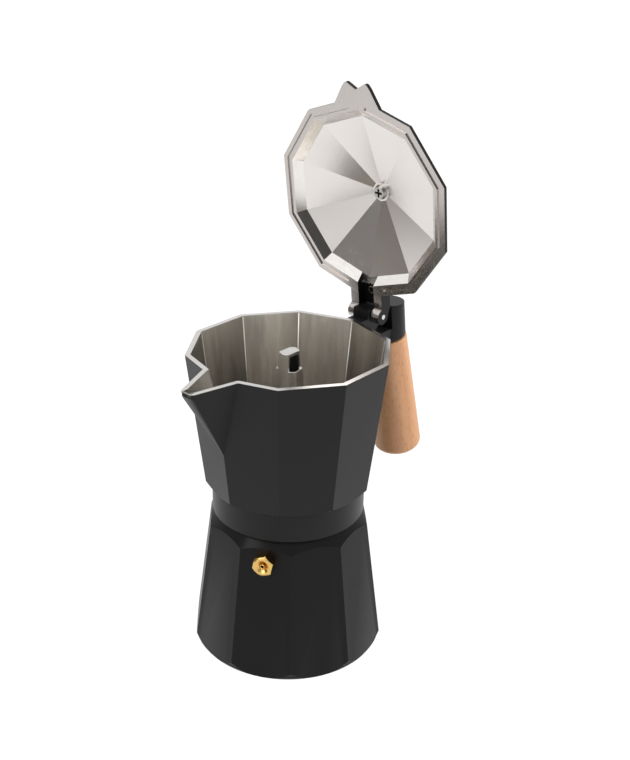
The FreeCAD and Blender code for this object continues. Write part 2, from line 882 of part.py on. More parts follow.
def knob():
    foot = Vector(knob_foot_radius, 0, knob_z)
    waist = Vector(knob_foot_radius + 0.4, 0, knob_z + 0.15 * knob_height)
    belly = Vector(knob_radius, 0, knob_z + 0.62 * knob_height)
    brow = Vector(0.72 * knob_radius, 0, knob_z + 0.92 * knob_height)
    top = Vector(0, 0, knob_z + knob_height)
    curve = Part.BSplineCurve()
    curve.interpolate([foot, waist, belly, brow, top])
    edges = [
        Part.LineSegment(Vector(0, 0, knob_z), foot).toShape(),
        curve.toShape(),
        Part.LineSegment(top, Vector(0, 0, knob_z)).toShape(),
    ]
    body = Part.Face(Part.Wire(edges)).revolve(Vector(0, 0, 0), Vector(0, 0, 1), 360)
    body = body.cut(cylinder(knob_screw_radius + insert_wall, knob_z - 1, knob_z + insert_length))
    return one_solid(body.cut(cylinder(knob_screw_radius, knob_z, knob_z + insert_length + 2)))


def knob_insert():
    ring = cylinder(knob_screw_radius + insert_wall, knob_z, knob_z + insert_length)
    return ring.cut(cylinder(knob_screw_radius, knob_z, knob_z + insert_length))


def knob_washer_ring():
    low = lid_pan_z - knob_washer
    ring = cylinder(knob_washer_radius, low, lid_pan_z)
    return ring.cut(cylinder(knob_screw_radius + fit_clearance, low, lid_pan_z))


def knob_screw():
    seat = lid_pan_z - knob_washer
    shank = cylinder(knob_screw_radius, seat, knob_z + insert_length - 1.0)
    head = Part.makeCone(
        0.8 * knob_head_radius, knob_head_radius, knob_head, Vector(0, 0, seat - knob_head)
    )
    body = shank.fuse(head)
    for angle in (0, 90):
        slot = Part.makeBox(4.4, 1.1, 1.4, Vector(-2.2, -0.55, seat - knob_head))
        slot.rotate(Vector(0, 0, 0), Vector(0, 0, 1), angle)
        body = body.cut(slot)
    return one_solid(body)


def placed_valve(shape):
    shape.Placement = valve_placement()
    return shape


def build():
    pieces = {
        "boiler": boiler(),
        "valve_body": placed_valve(valve_body()),
        "valve_seat": placed_valve(valve_seat()),
        "valve_plunger": placed_valve(valve_plunger()),
        "valve_spring": placed_valve(valve_spring()),
        "funnel_basket": funnel_basket(),
        "funnel_stem": funnel_stem(),
        "funnel_screen": funnel_screen(),
        "gasket": gasket(),
        "filter_plate": filter_plate(),
        "collector": collector(),
        "column": column(),
        "hinge_pin": hinge_pin(),
        "handle_bracket": handle_bracket(),
        "bracket_screw": bracket_screw(),
        "bracket_insert": bracket_insert(),
        "handle_grip": handle_grip(),
        "grip_washer": grip_washer(),
        "grip_bolt": grip_bolt(),
        "lid": opened(lid()),
        "knob": opened(knob()),
        "knob_insert": opened(knob_insert()),
        "knob_washer": opened(knob_washer_ring()),
        "knob_screw": opened(knob_screw()),
    }
    return {name: shape.Solids[0] for name, shape in pieces.items()}


def main():
    os.makedirs("parts", exist_ok=True)
    for name, shape in build().items():
        box = shape.BoundBox
        print("%-15s valid %s solids %d volume %.0f z %.1f to %.1f" % (
            name, shape.isValid(), len(shape.Solids), shape.Volume, box.ZMin, box.ZMax))
        shape.exportStep("parts/%s.step" % name)


if __name__ == "__main__":
    main()
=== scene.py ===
"""Stovetop moka pot with its lid open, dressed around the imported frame.

Lengths are metres in the frame of the part: +Z up, the handle along +X, the spout along -X.
"""

from __future__ import annotations

import json
import logging
import math
from dataclasses import dataclass, field, replace
from enum import Enum
from typing import Callable, Sequence

import bmesh
import bpy
from mathutils import Matrix, Vector

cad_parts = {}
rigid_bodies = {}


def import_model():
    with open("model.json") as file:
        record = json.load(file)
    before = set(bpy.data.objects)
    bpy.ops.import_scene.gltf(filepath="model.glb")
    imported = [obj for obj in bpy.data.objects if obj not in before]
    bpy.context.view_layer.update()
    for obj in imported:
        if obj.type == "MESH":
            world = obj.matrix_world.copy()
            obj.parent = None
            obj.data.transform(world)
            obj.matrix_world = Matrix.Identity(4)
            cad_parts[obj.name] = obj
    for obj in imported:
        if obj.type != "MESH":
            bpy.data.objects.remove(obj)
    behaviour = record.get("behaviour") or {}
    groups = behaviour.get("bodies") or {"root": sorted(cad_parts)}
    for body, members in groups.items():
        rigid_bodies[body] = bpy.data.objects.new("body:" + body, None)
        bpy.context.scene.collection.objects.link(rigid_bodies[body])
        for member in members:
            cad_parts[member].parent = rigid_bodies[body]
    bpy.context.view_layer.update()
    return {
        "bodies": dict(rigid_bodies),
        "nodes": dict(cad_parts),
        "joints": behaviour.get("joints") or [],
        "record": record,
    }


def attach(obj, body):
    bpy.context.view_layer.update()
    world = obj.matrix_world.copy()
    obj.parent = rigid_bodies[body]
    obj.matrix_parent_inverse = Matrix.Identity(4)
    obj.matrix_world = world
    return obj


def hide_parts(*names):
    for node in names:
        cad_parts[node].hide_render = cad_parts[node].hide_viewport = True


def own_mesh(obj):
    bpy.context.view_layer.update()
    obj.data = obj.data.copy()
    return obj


LOG = logging.getLogger("moka_pot")
MM = 0.001
FLOAT = "NodeSocketFloat"
VECTOR = "NodeSocketVector"
Socket = bpy.types.NodeSocket
Colour = tuple[float, float, float]
Point = tuple[float, float, float]
Outline = list[tuple[float, float]]


class Face(Enum):
    """What a face of a casting is, which decides its finish."""

    LACQUER = "lacquer"
    TURNED = "turned lacquer"
    BARE = "bare casting"
    FOOT = "machined foot"
    RIM = "machined rim"
    # Painted shade: faces inside a bore, where shade falls, get a near-black finish.
    PAINTED_SHADE = "dark bore"
    FLANGE = "faced flange"
    BEVEL = "polished bevel"
    PAN = "brushed pan"
    STEEL = "steel"
    RECESS = "screw recess"


class Edges(Enum):
    """How the edges that get a rounding are picked."""

    BY_ANGLE = "ANGLE"
    BY_WEIGHT = "WEIGHT"


Sorter = Callable[[Vector, Vector], Face]


class Graph:
    """A shader node tree with short ways to add and join nodes."""

    def __init__(self, tree: bpy.types.NodeTree) -> None:
        """Wraps the tree of a material, world or group."""
        self.tree = tree

    def add(self, kind: str, **settings: object) -> bpy.types.Node:
        """Adds a node.

        Args:
            kind: name of the node's type.
            settings: properties of the node, or values of its inputs by name.

        Returns:
            The new node.
        """
        node = self.tree.nodes.new(kind)
        for key, value in settings.items():
            if hasattr(node, key):
                setattr(node, key, value)
            else:
                node.inputs[key.replace("_", " ")].default_value = value
        return node

    def join(self, source: Socket, target: Socket) -> None:
        """Links an output to an input."""
        self.tree.links.new(source, target)

    def maths(self, operation: str, a: object, b: object = 0.0) -> Socket:
        """Adds a maths node.

        Args:
            operation: name of the sum.
            a: first socket or number.
            b: second socket or number.

        Returns:
            The result's socket.
        """
        node = self.add("ShaderNodeMath", operation=operation)
        for slot, value in zip(node.inputs, (a, b)):
            if isinstance(value, (int, float)):
                slot.default_value = value
            else:
                self.join(value, slot)
        return node.outputs[0]

    def mix(self, factor: Socket, a: object, b: object) -> Socket:
        """Adds a colour mix.

        Args:
            factor: socket from 0 to 1.
            a: socket or colour at factor 0.
            b: socket or colour at factor 1.

        Returns:
            The mixed colour's socket.
        """
        node = self.add("ShaderNodeMix", data_type="RGBA")
        self.join(factor, node.inputs[0])
        for index, value in ((6, a), (7, b)):
            if isinstance(value, Socket):
                self.join(value, node.inputs[index])
            else:
                node.inputs[index].default_value = (*value, 1.0)
        return node.outputs[2]

    def range(
        self, value: Socket, low: float, high: float, start: float = 0.0, stop: float = 1.0
    ) -> Socket:
        """Maps a value from one range to another.

        Args:
            value: socket of the value.
            low: result at start.
            high: result at stop.
            start: first end of the value's range.
            stop: other end of the value's range.

        Returns:
            The result's socket.
        """
        node = self.add("ShaderNodeMapRange", From_Min=start, From_Max=stop, To_Min=low, To_Max=high)
        self.join(value, node.inputs["Value"])
        return node.outputs["Result"]


def new_group(name: str, inputs: dict[str, str], outputs: Sequence[str]) -> Graph:
    """Starts a shader node group.

    Args:
        name: name of the group.
        inputs: socket type of each input by its name.
        outputs: name of each output, a number.

    Returns:
        The graph of the group, with its two end nodes named start and end.
    """
    tree = bpy.data.node_groups.new(name, "ShaderNodeTree")
    for label, kind in inputs.items():
        tree.interface.new_socket(label, in_out="INPUT", socket_type=kind)
    for label in outputs:
        tree.interface.new_socket(label, in_out="OUTPUT", socket_type=FLOAT)
    tree.nodes.new("NodeGroupInput").name = "start"
    tree.nodes.new("NodeGroupOutput").name = "end"
    return Graph(tree)


class Effects:
    """Shader node groups that several finishes share."""

    def __init__(self) -> None:
        """Builds the groups once."""
        self.grain = self._grain()
        self.strokes = self._strokes()
        self.rings = self._rings()
        self.beech = self._beech()

    @staticmethod
    def _drawn_out(graph: Graph, label: str, stretch: Socket | Point, **settings: float) -> None:
        """Feeds an output of a group with noise that is drawn out along some of its axes.

        Args:
            graph: graph of the group.
            label: name of the output.
            stretch: noise scale along each axis, per metre.
            settings: values of the noise's inputs.
        """
        scaled = graph.add("ShaderNodeVectorMath", operation="MULTIPLY")
        graph.join(graph.tree.nodes["start"].outputs["Vector"], scaled.inputs[0])
        if isinstance(stretch, Socket):
            graph.join(stretch, scaled.inputs[1])
        else:
            scaled.inputs[1].default_value = stretch
        noise = graph.add("ShaderNodeTexNoise", Scale=1.0, **settings)
        graph.join(scaled.outputs[0], noise.inputs["Vector"])
        graph.join(noise.outputs["Fac"], graph.tree.nodes["end"].inputs[label])

    @staticmethod
    def _grain() -> bpy.types.NodeTree:
        """Fine grain over slow patches, for lacquer, metal, rubber and moulded nylon.

        Returns:
            The group.
        """
        inputs = {"Vector": VECTOR, "Fine Scale": FLOAT, "Patch Scale": FLOAT}
        graph = new_group("surface_grain", inputs, ("Fine", "Patch"))
        start = graph.tree.nodes["start"]
        for label, detail in (("Fine", 3.0), ("Patch", 2.0)):
            noise = graph.add("ShaderNodeTexNoise", Detail=detail)
            graph.join(start.outputs["Vector"], noise.inputs["Vector"])
            graph.join(start.outputs[f"{label} Scale"], noise.inputs["Scale"])
            graph.join(noise.outputs["Fac"], graph.tree.nodes["end"].inputs[label])
        return graph.tree

    @staticmethod
    def _strokes() -> bpy.types.NodeTree:
        """Brush strokes: noise drawn out along one direction of a stretched vector.

        Returns:
            The group.
        """
        graph = new_group("brush_strokes", {"Vector": VECTOR, "Stretch": VECTOR}, ("Stroke",))
        stretch = graph.tree.nodes["start"].outputs["Stretch"]
        Effects._drawn_out(graph, "Stroke", stretch, Detail=4.0, Roughness=0.65)
        return graph.tree

    @staticmethod
    def _rings() -> bpy.types.NodeTree:
        """Lathe marks: noise that changes only with the sum of radius and height about the Z axis.

        Returns:
            The group.
        """
        graph = new_group("lathe_rings", {"Vector": VECTOR, "Per Metre": FLOAT}, ("Ring",))
        start = graph.tree.nodes["start"]
        parts = graph.add("ShaderNodeSeparateXYZ")
        graph.join(start.outputs["Vector"], parts.inputs[0])
        squares = [graph.maths("MULTIPLY", parts.outputs[axis], parts.outputs[axis]) for axis in "XY"]
        radius = graph.maths("SQRT", graph.maths("ADD", *squares))
        reach = graph.maths("ADD", radius, parts.outputs["Z"])
        count = graph.maths("MULTIPLY", reach, start.outputs["Per Metre"])
        noise = graph.add("ShaderNodeTexNoise", noise_dimensions="1D", Scale=1.0, Detail=2.0)
        graph.join(count, noise.inputs["W"])
        graph.join(noise.outputs["Fac"], graph.tree.nodes["end"].inputs["Ring"])
        return graph.tree

    @staticmethod
    def _beech() -> bpy.types.NodeTree:
        """Beech with its long figure and the short dark flecks of its rays, along Z.

        Returns:
            The group.
        """
        graph = new_group("beech_grain", {"Vector": VECTOR}, ("Figure", "Fleck", "Pore"))
        Effects._drawn_out(graph, "Figure", (95.0, 95.0, 7.0), Detail=3.0)
        Effects._drawn_out(graph, "Fleck", (2200.0, 2200.0, 260.0), Detail=1.0)
        Effects._drawn_out(graph, "Pore", (2600.0, 2600.0, 90.0), Detail=2.0)
        return graph.tree


def toned(colour: Colour, share: float) -> Colour:
    """A colour times a share, with no channel over 1."""
    return tuple(min(1.0, channel * share) for channel in colour)


@dataclass(frozen=True)
class Finish:
    """A surface finish with one principled shader.

    Attributes:
        name: name of the material.
        colour: linear base colour.
        roughness: roughness at the middle of its range.
        metallic: 0 or 1.
        specular: level of the plain reflection.
    """

    name: str
    colour: Colour
    roughness: float
    metallic: float = 0.0
    specular: float = 0.5

    def material(self, effects: Effects) -> bpy.types.Material:
        """Builds the material.

        Args:
            effects: shared node groups.

        Returns:
            The material, ready to assign.
        """
        material = bpy.data.materials.new(self.name)
        material.use_nodes = True
        graph = Graph(material.node_tree)
        shader = material.node_tree.nodes["Principled BSDF"]
        shader.inputs["Base Color"].default_value = (*self.colour, 1.0)
        shader.inputs["Roughness"].default_value = self.roughness
        shader.inputs["Metallic"].default_value = self.metallic
        shader.inputs["Specular IOR Level"].default_value = self.specular
        place = graph.add("ShaderNodeTexCoord").outputs["Object"]
        self.dress(graph, shader, place, effects)
        return material

    def dress(self, graph: Graph, shader: bpy.types.Node, place: Socket, effects: Effects) -> None:
        """Adds this finish's own nodes.

        Args:
            graph: graph of the material.
            shader: its principled shader.
            place: position in the part's frame.
            effects: shared node groups.
        """

    @staticmethod
    def group(
        graph: Graph, tree: bpy.types.NodeTree, place: Socket, **settings: object
    ) -> bpy.types.Node:
        """Places a shared group.

        Args:
            graph: graph of the material.
            tree: the group.
            place: position that feeds it.
            settings: values of its inputs by name.

        Returns:
            The group's node.
        """
        node = graph.add("ShaderNodeGroup", node_tree=tree)
        graph.join(place, node.inputs["Vector"])
        for key, value in settings.items():
            node.inputs[key.replace("_", " ")].default_value = value
        return node

    @staticmethod
    def local(graph: Graph, place: Socket, frame: Matrix) -> Socket:
        """Takes a position into another frame.

        Args:
            graph: graph of the material.
            place: position in the part's frame.
            frame: matrix from the part's frame to the other one.

        Returns:
            The new position's socket.
        """
        node = graph.add("ShaderNodeMapping", Location=frame.to_translation(), Rotation=frame.to_euler())
        graph.join(place, node.inputs["Vector"])
        return node.outputs["Vector"]

    def vary(self, graph: Graph, shader: bpy.types.Node, source: Socket, down: float, up: float) -> None:
        """Moves the roughness.

        Args:
            graph: graph of the material.
            shader: its principled shader.
            source: socket from 0 to 1 that moves it.
            down: how far it falls at 0.
            up: how far it rises at 1.
        """
        rough = graph.range(source, self.roughness - down, self.roughness + up)
        graph.join(rough, shader.inputs["Roughness"])

    @staticmethod
    def bump(graph: Graph, shader: bpy.types.Node, height: Socket, strength: float, depth: float) -> None:
        """Raises the surface by a height.

        Args:
            graph: graph of the material.
            shader: its principled shader.
            height: socket from 0 to 1.
            strength: strength of the bump.
            depth: depth in metres.
        """
        node = graph.add("ShaderNodeBump", Strength=strength, Distance=depth)
        graph.join(height, node.inputs["Height"])
        graph.join(node.outputs["Normal"], shader.inputs["Normal"])


@dataclass(frozen=True)
class Grained(Finish):
    """Lacquer, nylon, rubber or metal: fine grain over slow patches.

    Attributes:
        fine_scale: grains per metre.
        patch_scale: patches per metre.
        swing: how far roughness moves either way.
        tint: how far the colour moves with the patches.
        relief: strength of the grain's bump.
        depth: depth of the grain in metres.
    """

    fine_scale: float = 2500.0
    patch_scale: float = 30.0
    swing: float = 0.06
    tint: float = 0.15
    relief: float = 0.25
    depth: float = 0.00005

    def dress(self, graph: Graph, shader: bpy.types.Node, place: Socket, effects: Effects) -> None:
        """Adds grain, patches and their relief.

        Args:
            graph: graph of the material.
            shader: its principled shader.
            place: position in the part's frame.
            effects: shared node groups.
        """
        grain = self.group(
            graph, effects.grain, place, Fine_Scale=self.fine_scale, Patch_Scale=self.patch_scale
        )
        patch = grain.outputs["Patch"]
        dark = toned(self.colour, 1.0 - self.tint)
        light = toned(self.colour, 1.0 + self.tint)
        graph.join(graph.mix(patch, dark, light), shader.inputs["Base Color"])
        self.vary(graph, shader, patch, self.swing, self.swing)
        self.bump(graph, shader, grain.outputs["Fine"], self.relief, self.depth)


@dataclass(frozen=True)
class LatheCut(Finish):
    """Metal or lacquer with the fine rings of a lathe tool.

    Attributes:
        per_metre: rings per metre.
        tone: share of the colour in the grooves.
        relief: strength of the rings' bump.
        depth: depth of the rings in metres.
        swing: how far roughness moves either way.
        frame: matrix from the part's frame to one with the lathe's axis on Z.
    """

    per_metre: float = 3000.0
    tone: float = 0.86
    relief: float = 0.5
    depth: float = 0.00004
    swing: float = 0.05
    frame: Matrix = field(default_factory=Matrix)

    def dress(self, graph: Graph, shader: bpy.types.Node, place: Socket, effects: Effects) -> None:
        """Adds the rings.

        Args:
            graph: graph of the material.
            shader: its principled shader.
            place: position in the part's frame.
            effects: shared node groups.
        """
        local = self.local(graph, place, self.frame)
        ring = self.group(graph, effects.rings, local, Per_Metre=self.per_metre).outputs["Ring"]
        colour = graph.mix(ring, toned(self.colour, self.tone), self.colour)
        graph.join(colour, shader.inputs["Base Color"])
        self.vary(graph, shader, ring, self.swing, self.swing)
        self.bump(graph, shader, ring, self.relief, self.depth)


@dataclass(frozen=True)
class Brushed(Finish):
    """Metal with brush strokes along one direction of a frame.

    Attributes:
        stretch: noise scale along each axis of the frame, per metre.
        relief: strength of the strokes' bump.
        depth: depth of the strokes in metres.
        swing: how far roughness moves either way.
        tone: darkest share of the colour between strokes.
        patch_scale: slow patches of roughness per metre.
        bands: depth of the broad pale and dark bands that run with the strokes, or 0.
        band_scale: share of the strokes' noise scale that the bands have.
        band_edges: noise at which a band starts and is full.
        band_tone: share of the colour in the darkest band.
        frame: matrix from the part's frame to the strokes' frame.
    """

    stretch: Point = (2500.0, 2500.0, 60.0)
    relief: float = 0.3
    depth: float = 0.00003
    swing: float = 0.07
    tone: float = 0.82
    patch_scale: float = 45.0
    bands: float = 0.0
    band_scale: float = 0.1
    band_edges: tuple[float, float] = (0.36, 0.64)
    band_tone: float = 0.35
    frame: Matrix = field(default_factory=Matrix)

    def dress(self, graph: Graph, shader: bpy.types.Node, place: Socket, effects: Effects) -> None:
        """Adds the strokes over slow patches.

        Args:
            graph: graph of the material.
            shader: its principled shader.
            place: position in the part's frame.
            effects: shared node groups.
        """
        local = self.local(graph, place, self.frame)
        stroke = self.group(graph, effects.strokes, local, Stretch=self.stretch).outputs["Stroke"]
        patch = self.group(graph, effects.grain, place, Patch_Scale=self.patch_scale).outputs["Patch"]
        colour = graph.mix(stroke, toned(self.colour, self.tone), self.colour)
        if self.bands > 0.0:
            wide = tuple(scale * self.band_scale for scale in self.stretch)
            broad = self.group(graph, effects.strokes, local, Stretch=wide).outputs["Stroke"]
            band = graph.maths("MULTIPLY", graph.range(broad, 0.0, 1.0, *self.band_edges), self.bands)
            colour = graph.mix(band, colour, toned(self.colour, self.band_tone))
        graph.join(colour, shader.inputs["Base Color"])
        middle = graph.maths("MULTIPLY", graph.maths("ADD", stroke, patch), 0.5)
        self.vary(graph, shader, middle, self.swing, self.swing)
        self.bump(graph, shader, stroke, self.relief, self.depth)


@dataclass(frozen=True)
class Beech(Finish):
    """Oiled beech, its grain along the Z axis of a frame.

    Attributes:
        dark: colour of the late wood.
        fleck: colour of the ray flecks.
        figure_edges: noise at which the wood is all late or all early.
        fleck_edges: noise at which a fleck starts and is full.
        fleck_share: how much of the wood a full fleck hides.
        smoother: how far roughness falls off the pores.
        rougher: how far roughness rises in the pores.
        relief: strength of the pores' bump.
        depth: depth of the pores in metres.
        frame: matrix from the part's frame to the turned piece's own frame.
    """

    dark: Colour = (0.63, 0.31, 0.145)
    fleck: Colour = (0.47, 0.215, 0.10)
    figure_edges: tuple[float, float] = (0.3, 0.7)
    fleck_edges: tuple[float, float] = (0.60, 0.72)
    fleck_share: float = 0.75
    smoother: float = 0.08
    rougher: float = 0.1
    relief: float = 0.25
    depth: float = 0.00006
    frame: Matrix = field(default_factory=Matrix)

    def dress(self, graph: Graph, shader: bpy.types.Node, place: Socket, effects: Effects) -> None:
        """Adds figure, flecks and pores.

        Args:
            graph: graph of the material.
            shader: its principled shader.
            place: position in the part's frame.
            effects: shared node groups.
        """
        grain = self.group(graph, effects.beech, self.local(graph, place, self.frame))
        figure = graph.range(grain.outputs["Figure"], 0.0, 1.0, *self.figure_edges)
        wood = graph.mix(figure, self.dark, self.colour)
        flecks = graph.range(grain.outputs["Fleck"], 0.0, self.fleck_share, *self.fleck_edges)
        graph.join(graph.mix(flecks, wood, self.fleck), shader.inputs["Base Color"])
        self.vary(graph, shader, grain.outputs["Pore"], self.smoother, self.rougher)
        self.bump(graph, shader, grain.outputs["Pore"], self.relief, self.depth)


LACQUER = Grained(
    "black_lacquer", (0.0058, 0.0055, 0.0056), 0.40, 0.0, 0.16, fine_scale=1900.0, relief=0.2
)
CUP_LACQUER = Grained(
    "black_cup_lacquer", (0.0082, 0.0078, 0.0080), 0.40, 0.0, 0.22, fine_scale=1900.0, relief=0.2
)
TURNED_LACQUER = LatheCut(
    "turned_black_lacquer", (0.004, 0.004, 0.004), 0.15, 0.0, 0.13, per_metre=1500.0, depth=0.00008
)
# Painted shade: a near-black finish that stands in for the shade in the column's bore, the knob screw's
# cross recess and the valve's drilled end.
PAINTED_SHADE = Grained("painted_shade", (0.022, 0.019, 0.016), 0.55, fine_scale=2500.0, relief=0.2)
CAST = Brushed(
    "bare_cast_aluminium", (0.88, 0.848, 0.795), 0.24, 1.0,
    stretch=(420.0, 420.0, 8.0), tone=0.95, bands=0.8, relief=0.005, swing=0.01,
)
POST = Brushed(
    "bright_cast_aluminium", (0.93, 0.91, 0.87), 0.20, 1.0,
    stretch=(900.0, 900.0, 8.0), tone=0.8, bands=0.5, relief=0.02, swing=0.03,
)
FILLET = Brushed(
    "bright_fillet", (0.62, 0.60, 0.565), 0.36, 1.0,
    stretch=(900.0, 900.0, 8.0), tone=0.9, relief=0.02, swing=0.03,
)
MACHINED = Brushed(
    "machined_aluminium", (0.66, 0.642, 0.62), 0.22, 1.0, stretch=(300.0, 300.0, 300.0), tone=0.9
)
PAN = Brushed(
    "brushed_pan", (0.80, 0.763, 0.738), 0.26, 1.0,
    stretch=(60.0, 1700.0, 900.0), relief=0.15, tone=0.92, swing=0.04,
)
BEVEL = Brushed("polished_bevel", (0.88, 0.85, 0.82), 0.16, 1.0, stretch=(200.0, 200.0, 900.0))
FLANGE = Brushed(
    "faced_flange", (0.59, 0.552, 0.528), 0.27, 1.0,
    stretch=(90.0, 1500.0, 900.0), relief=0.12, tone=0.9, swing=0.04,
)
SPUN = LatheCut("spun_aluminium", (0.54, 0.53, 0.51), 0.30, 1.0, per_metre=2200.0)
BRASS = LatheCut("gilt_brass", (0.75, 0.49, 0.16), 0.22, 1.0, per_metre=2500.0, depth=0.00002)
STEEL = Grained("bright_steel", (0.68, 0.67, 0.65), 0.22, 1.0, fine_scale=3000.0, relief=0.08)
SCREW = Grained("dull_steel", (0.45, 0.44, 0.42), 0.32, 1.0, fine_scale=3000.0, relief=0.08)
NYLON = Grained("black_nylon", (0.0085, 0.0085, 0.009), 0.42, 0.0, 0.22, fine_scale=2600.0, relief=0.35)
RUBBER = Grained("pale_gasket", (0.74, 0.71, 0.64), 0.6, fine_scale=1500.0, relief=0.2)
OILED_BEECH = Beech("oiled_beech", (0.80, 0.425, 0.215), 0.45)


def in_metres(points: Sequence[tuple[float, float]]) -> Outline:
    """The points of an outline, from millimetres to metres."""
    return [(radius * MM, height * MM) for radius, height in points]


def close_mesh(shape: bmesh.types.BMesh, name: str) -> bpy.types.Mesh:
    """Writes a shape to a new mesh and frees it.

    Args:
        shape: the shape.
        name: name of the mesh.

    Returns:
        The mesh.
    """
    mesh = bpy.data.meshes.new(name)
    shape.to_mesh(mesh)
    shape.free()
    return mesh


def shade_round(shape: bmesh.types.BMesh, limit: float) -> None:
    """Turns the faces outwards and shades them smooth, but for edges over a limit.

    Args:
        shape: the shape.
        limit: largest angle in degrees that is shaded smooth.
    """
    bmesh.ops.recalc_face_normals(shape, faces=shape.faces)
    for face in shape.faces:
        face.smooth = True
    for edge in shape.edges:
        if len(edge.link_faces) == 2:
            edge.smooth = edge.calc_face_angle(0.0) < math.radians(limit)


class Workshop:
    """Makes meshes, finishes and riders for every sub-assembly.

    Attributes:
        weld_gap: distance within which points of a dressed node are joined.
        merge_gap: distance within which points of a refined node are joined.
        axis_gap: radius under which a turned point lies on the axis.
        flat_angle: angle under which two faces become one.
        hard_angle: angle over which an edge can be rounded.
        crisp_angle: largest angle that is shaded smooth between crisp faces.
        smooth_angle: largest angle that is shaded smooth between other faces.
        turned_limit: the same for a turned piece, in degrees.
        bevel_segments: number of segments in a rounded edge.
    """

    weld_gap: float = 1e-6
    merge_gap: float = 2e-6
    axis_gap: float = 1e-7
    flat_angle: float = math.radians(0.4)
    hard_angle: float = math.radians(28.0)
    crisp_angle: float = math.radians(3.0)
    smooth_angle: float = math.radians(24.0)
    turned_limit: float = 30.0
    bevel_segments: int = 3

    def __init__(self, frame: dict) -> None:
        """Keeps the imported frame.
        """
        self.frame = frame
        self.effects = Effects()
        self._made: dict[str, bpy.types.Material] = {}

    def finish(self, finish: Finish) -> bpy.types.Material:
        """Gives the material of a finish, built on first use.

        Args:
            finish: the finish.

        Returns:
            Its material.
        """
        if finish.name not in self._made:
            self._made[finish.name] = finish.material(self.effects)
        return self._made[finish.name]

    def dress_node(self, node: str, finish: Finish, bevel: float = 0.0) -> None:
        """Gives a CAD node one finish.

        Args:
            node: name of the node.
            finish: its finish.
            bevel: width of the rounded edges in metres, or 0.
        """
        piece = self.frame["nodes"][node]
        piece.data.materials.clear()
        piece.data.materials.append(self.finish(finish))
        if bevel > 0.0:
            weld = piece.modifiers.new("weld", "WELD")
            weld.merge_threshold = self.weld_gap
            self.round_edges(piece, bevel, Edges.BY_ANGLE)
        LOG.info("%s: %s", node, finish.name)

    def round_edges(self, piece: bpy.types.Object, width: float, picked: Edges) -> None:
        """Adds a small rounding to the hard edges of a piece.

        Args:
            piece: the mesh object.
            width: width of the rounding in metres.
            picked: how the edges are picked.
        """
        bevel = piece.modifiers.new("edge", "BEVEL")
        bevel.limit_method = picked.value
        bevel.angle_limit = self.hard_angle
        bevel.width = width
        bevel.segments = self.bevel_segments
        bevel.harden_normals = True
        bevel.miter_outer = "MITER_ARC"

    @staticmethod
    def add(mesh: bpy.types.Mesh) -> bpy.types.Object:
        """Puts a mesh into the scene as a piece of the same name.

        Args:
            mesh: the mesh.

        Returns:
            The new piece.
        """
        piece = bpy.data.objects.new(mesh.name, mesh)
        bpy.context.scene.collection.objects.link(piece)
        return piece

    @staticmethod
    def mount(piece: bpy.types.Object, body: str, slot: str) -> None:
        """Makes a piece ride on a body.

        Args:
            piece: the piece.
            body: the body that it rides on.
            slot: material slot of the record, not used.
        """
        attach(piece, body)
        LOG.info("%s rides on %s", piece.name, body)

    def refine(
        self,
        node: str,
        name: str,
        body: str,
        slot: str,
        finishes: dict[Face, Finish],
        sorter: Sorter,
        bevel: float = 0.0,
        crisp: frozenset[Face] = frozenset(),
        soft: Callable[[Vector], float] = lambda spot: 1.0,
    ) -> bpy.types.Object:
        """Makes the shown piece of a CAD node, with a finish on each of its faces.

        Args:
            node: the CAD node it stands for.
            name: name of the piece.
            body: the body that it rides on.
            slot: material slot of the record.
            finishes: finish by kind of face.
            sorter: gives the kind of a face from its centre and normal.
            bevel: width of the rounded edges in metres, or 0.
            crisp: kinds whose shallow facets stay sharp.
            soft: gives from the middle of a hard edge its share of the rounding.

        Returns:
            The new piece.
        """
        mesh = self.frame["nodes"][node].data.copy()
        mesh.name = name
        mesh.materials.clear()
        kinds = list(finishes)
        for kind in kinds:
            mesh.materials.append(self.finish(finishes[kind]))
        shape = bmesh.new()
        shape.from_mesh(mesh)
        bmesh.ops.remove_doubles(shape, verts=shape.verts, dist=self.merge_gap)
        bmesh.ops.dissolve_limit(
            shape, angle_limit=self.flat_angle, verts=shape.verts, edges=shape.edges
        )
        shape.normal_update()
        for face in shape.faces:
            face.material_index = kinds.index(sorter(face.calc_center_median(), face.normal))
            face.smooth = True
        weight = shape.edges.layers.float.new("bevel_weight_edge")
        for edge in shape.edges:
            if len(edge.link_faces) != 2:
                continue
            middle = (edge.verts[0].co + edge.verts[1].co) / 2.0
            angle = edge.calc_face_angle(0.0)
            edge[weight] = soft(middle) if angle > self.hard_angle else 0.0
            beside = {kinds[face.material_index] for face in edge.link_faces}
            edge.smooth = angle < (self.crisp_angle if beside <= crisp else self.smooth_angle)
        shape.to_mesh(mesh)
        shape.free()
        piece = self.add(mesh)
        if bevel > 0.0:
            self.round_edges(piece, bevel, Edges.BY_WEIGHT)
        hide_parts(node)
        self.mount(piece, body, slot)
        return piece

